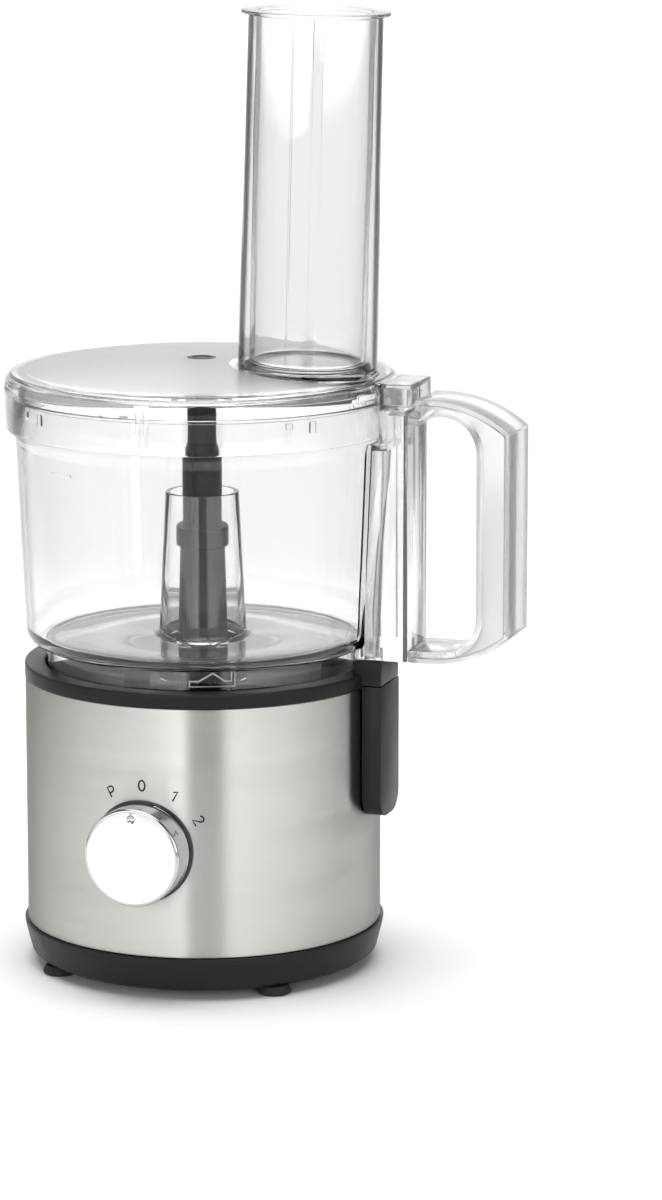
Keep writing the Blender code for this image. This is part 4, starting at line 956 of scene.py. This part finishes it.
def lid():
    """Clear lid: domed top, rounded shoulder, ring, inner rib, tab and leaning feed tube."""
    t = WALL
    r = LID_RING_R
    top = [(q, dome(q)) for q in (6.6, 16, 30, 44, 58, 70, 78.6)]
    rim = [(84.8, 265.9, 1.5), (87.4, 263.6, 2.0), (r, 258.7, 1.5), (87.3, LID_RING_LOW, 0.6)]
    inside = [(85.2, LID_RING_LOW, 0.5), (85.9, 258.7, 1.0), (84.4, 262.6, 1.0), (81.2, 263.2, 0.6), (81.2, 254, 0.5),
              (79.6, 254, 0.5), (79.6, 263.6, 0.6)]
    under = [(q, dome(q, t)) for q in (78.0, 70, 58, 44, 30, 16)] + [(9.5, dome(9.5, t), 0.6), (9.5, 263.0, 0.4),
                                                               (6.6, 263.0, 0.3)]
    body = lathe(rounded(top + rim + inside + under), 160)
    tab_side = [(-15.0, 256.2, 1.0), (-3, 254.2, 3.0), (15.0, 254.2, 1.0), (15.0, 265.6, 1.0), (-15.0, 265.6, 1.0)]
    hollow = block((89.4, -12.8, 240), (100.3, 12.8, 263.4), 1.0)
    tab = scaled_mesh("tab_guide", prism(rounded(tab_side), 86.6, TAB_X, "YZ"), [hollow], 0.5)
    root = block((78, -13.4, 263.4), (90, 13.4, 265.3))
    rib = block((89, -1.0, 255.0), (101, 1.0, 264))
    foot = TUBE_FOOT - 0.5
    tube = rounded([(0, foot), (TUBE_LOW_R + 4.0, foot), (TUBE_LOW_R + 4.0, 264.6), (TUBE_LOW_R, 268.4, 4),
                    (TUBE_TOP_R, TUBE_TOP, 0.6), (0, TUBE_TOP)], 8)
    outer = leaned(lathe(tube, 128, (TUBE_X, 0, 0)))
    inner = leaned(lathe([(0, 240), (TUBE_LOW_R - t, 240), (TUBE_TOP_R - t, 440), (0, 440)], 128, (TUBE_X, 0, 0)))
    stops = [turned_to(block((-0.7, -85.9, 249.5), (0.7, -84.75, 262.5)), azimuth + step)
             for step in (0.0, 2.4) for azimuth in (1.0, 91, 181, 271)]
    made = shaped("clear_lid", body, [tab, root, rib, outer] + stops, [inner])
    dress(made, CLEAR_LID, "lid", "lid_clear", "lid")
    # Faces above TUBE_SEEN_FROM take the tube's plastic, with its darker painted edge shade.
    made.data.materials.append(CLEAR_TUBE)
    for face in made.data.polygons:
        if face.center.z / MM > TUBE_SEEN_FROM:
            face.material_index = 1


def pusher():
    """Clear pusher cup with its flange, guide ribs and rounded mouth."""
    t = 2.0
    low = PUSHER_LOW
    flange = TUBE_TOP + 0.3
    flange_r = 32.85
    high = 426.6
    outline = rounded([(0, low), (26.0, low, 3.0), (26.6, flange, 0.5), (flange_r, flange, 0.3), (flange_r, high, 0.8),
                       (24.9, high, 0.8), (24.0, low + t, 2.5), (0, low + t)], 6)
    cup = leaned(lathe(outline, 128, (TUBE_X, 0, 0)))
    rib_root = 25.6
    ribs = []
    for azimuth, half, reach in ((42.0, 0.5, 26.9), (15.0, 2.4, 26.75)):
        rib = block((-half, rib_root, low + 3), (half, reach, flange - 4), 0.3)
        bmesh.ops.rotate(rib, matrix=Matrix.Rotation(math.radians(azimuth), 3, "Z"), verts=rib.verts)
        bmesh.ops.translate(rib, vec=(TUBE_X, 0, 0), verts=rib.verts)
        ribs.append(leaned(rib))
    made = shaped("clear_pusher", cup, ribs)
    dress(made, CLEAR, "pusher", "pusher_clear", "pusher")


tray()
sleeve()
collar()
pillar()
feet()
gland()
bezel()
knob()
dial_marks()
axle()
bearing_plug()
bowl()
grip()
lid()
pusher()

WEARS = {
    BARE_STEEL: ["base_screw_1", "base_screw_2", "base_screw_3", "base_screw_4", "motor_plate", "switch_bracket",
                 "plunger_spring", "motor_pulley"],
    TURNED_STEEL: ["drive_spindle", "rotor_shaft", "knob_shaft"],
    CAST: ["spindle_housing", "motor_bracket_lower", "motor_bracket_upper"],
    BRONZE: ["spindle_bearing_lower", "spindle_bearing_upper", "motor_bearing_lower", "motor_bearing_upper"],
    BRASS: ["brush_holder_left", "brush_holder_right"],
    COPPER: ["armature_winding_lower", "armature_winding_upper", "commutator", "field_coil_left", "field_coil_right"],
    LAMINATIONS: ["armature_core", "motor_stator"],
    CARBON: ["carbon_brush_left", "carbon_brush_right"],
    BLACK: ["spindle_pulley", "cooling_fan"],
    RUBBER: ["drive_belt", "chimney_bush"],
    SWITCH_GREY: ["rotary_switch", "interlock_switch", "drive_coupling"],
    WHITE_PLASTIC: ["interlock_plunger"],
    CLEAR: ["interlock_rod"],
}
for look, names in WEARS.items():
    for name in names:
        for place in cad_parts[name].material_slots:
            place.material = look
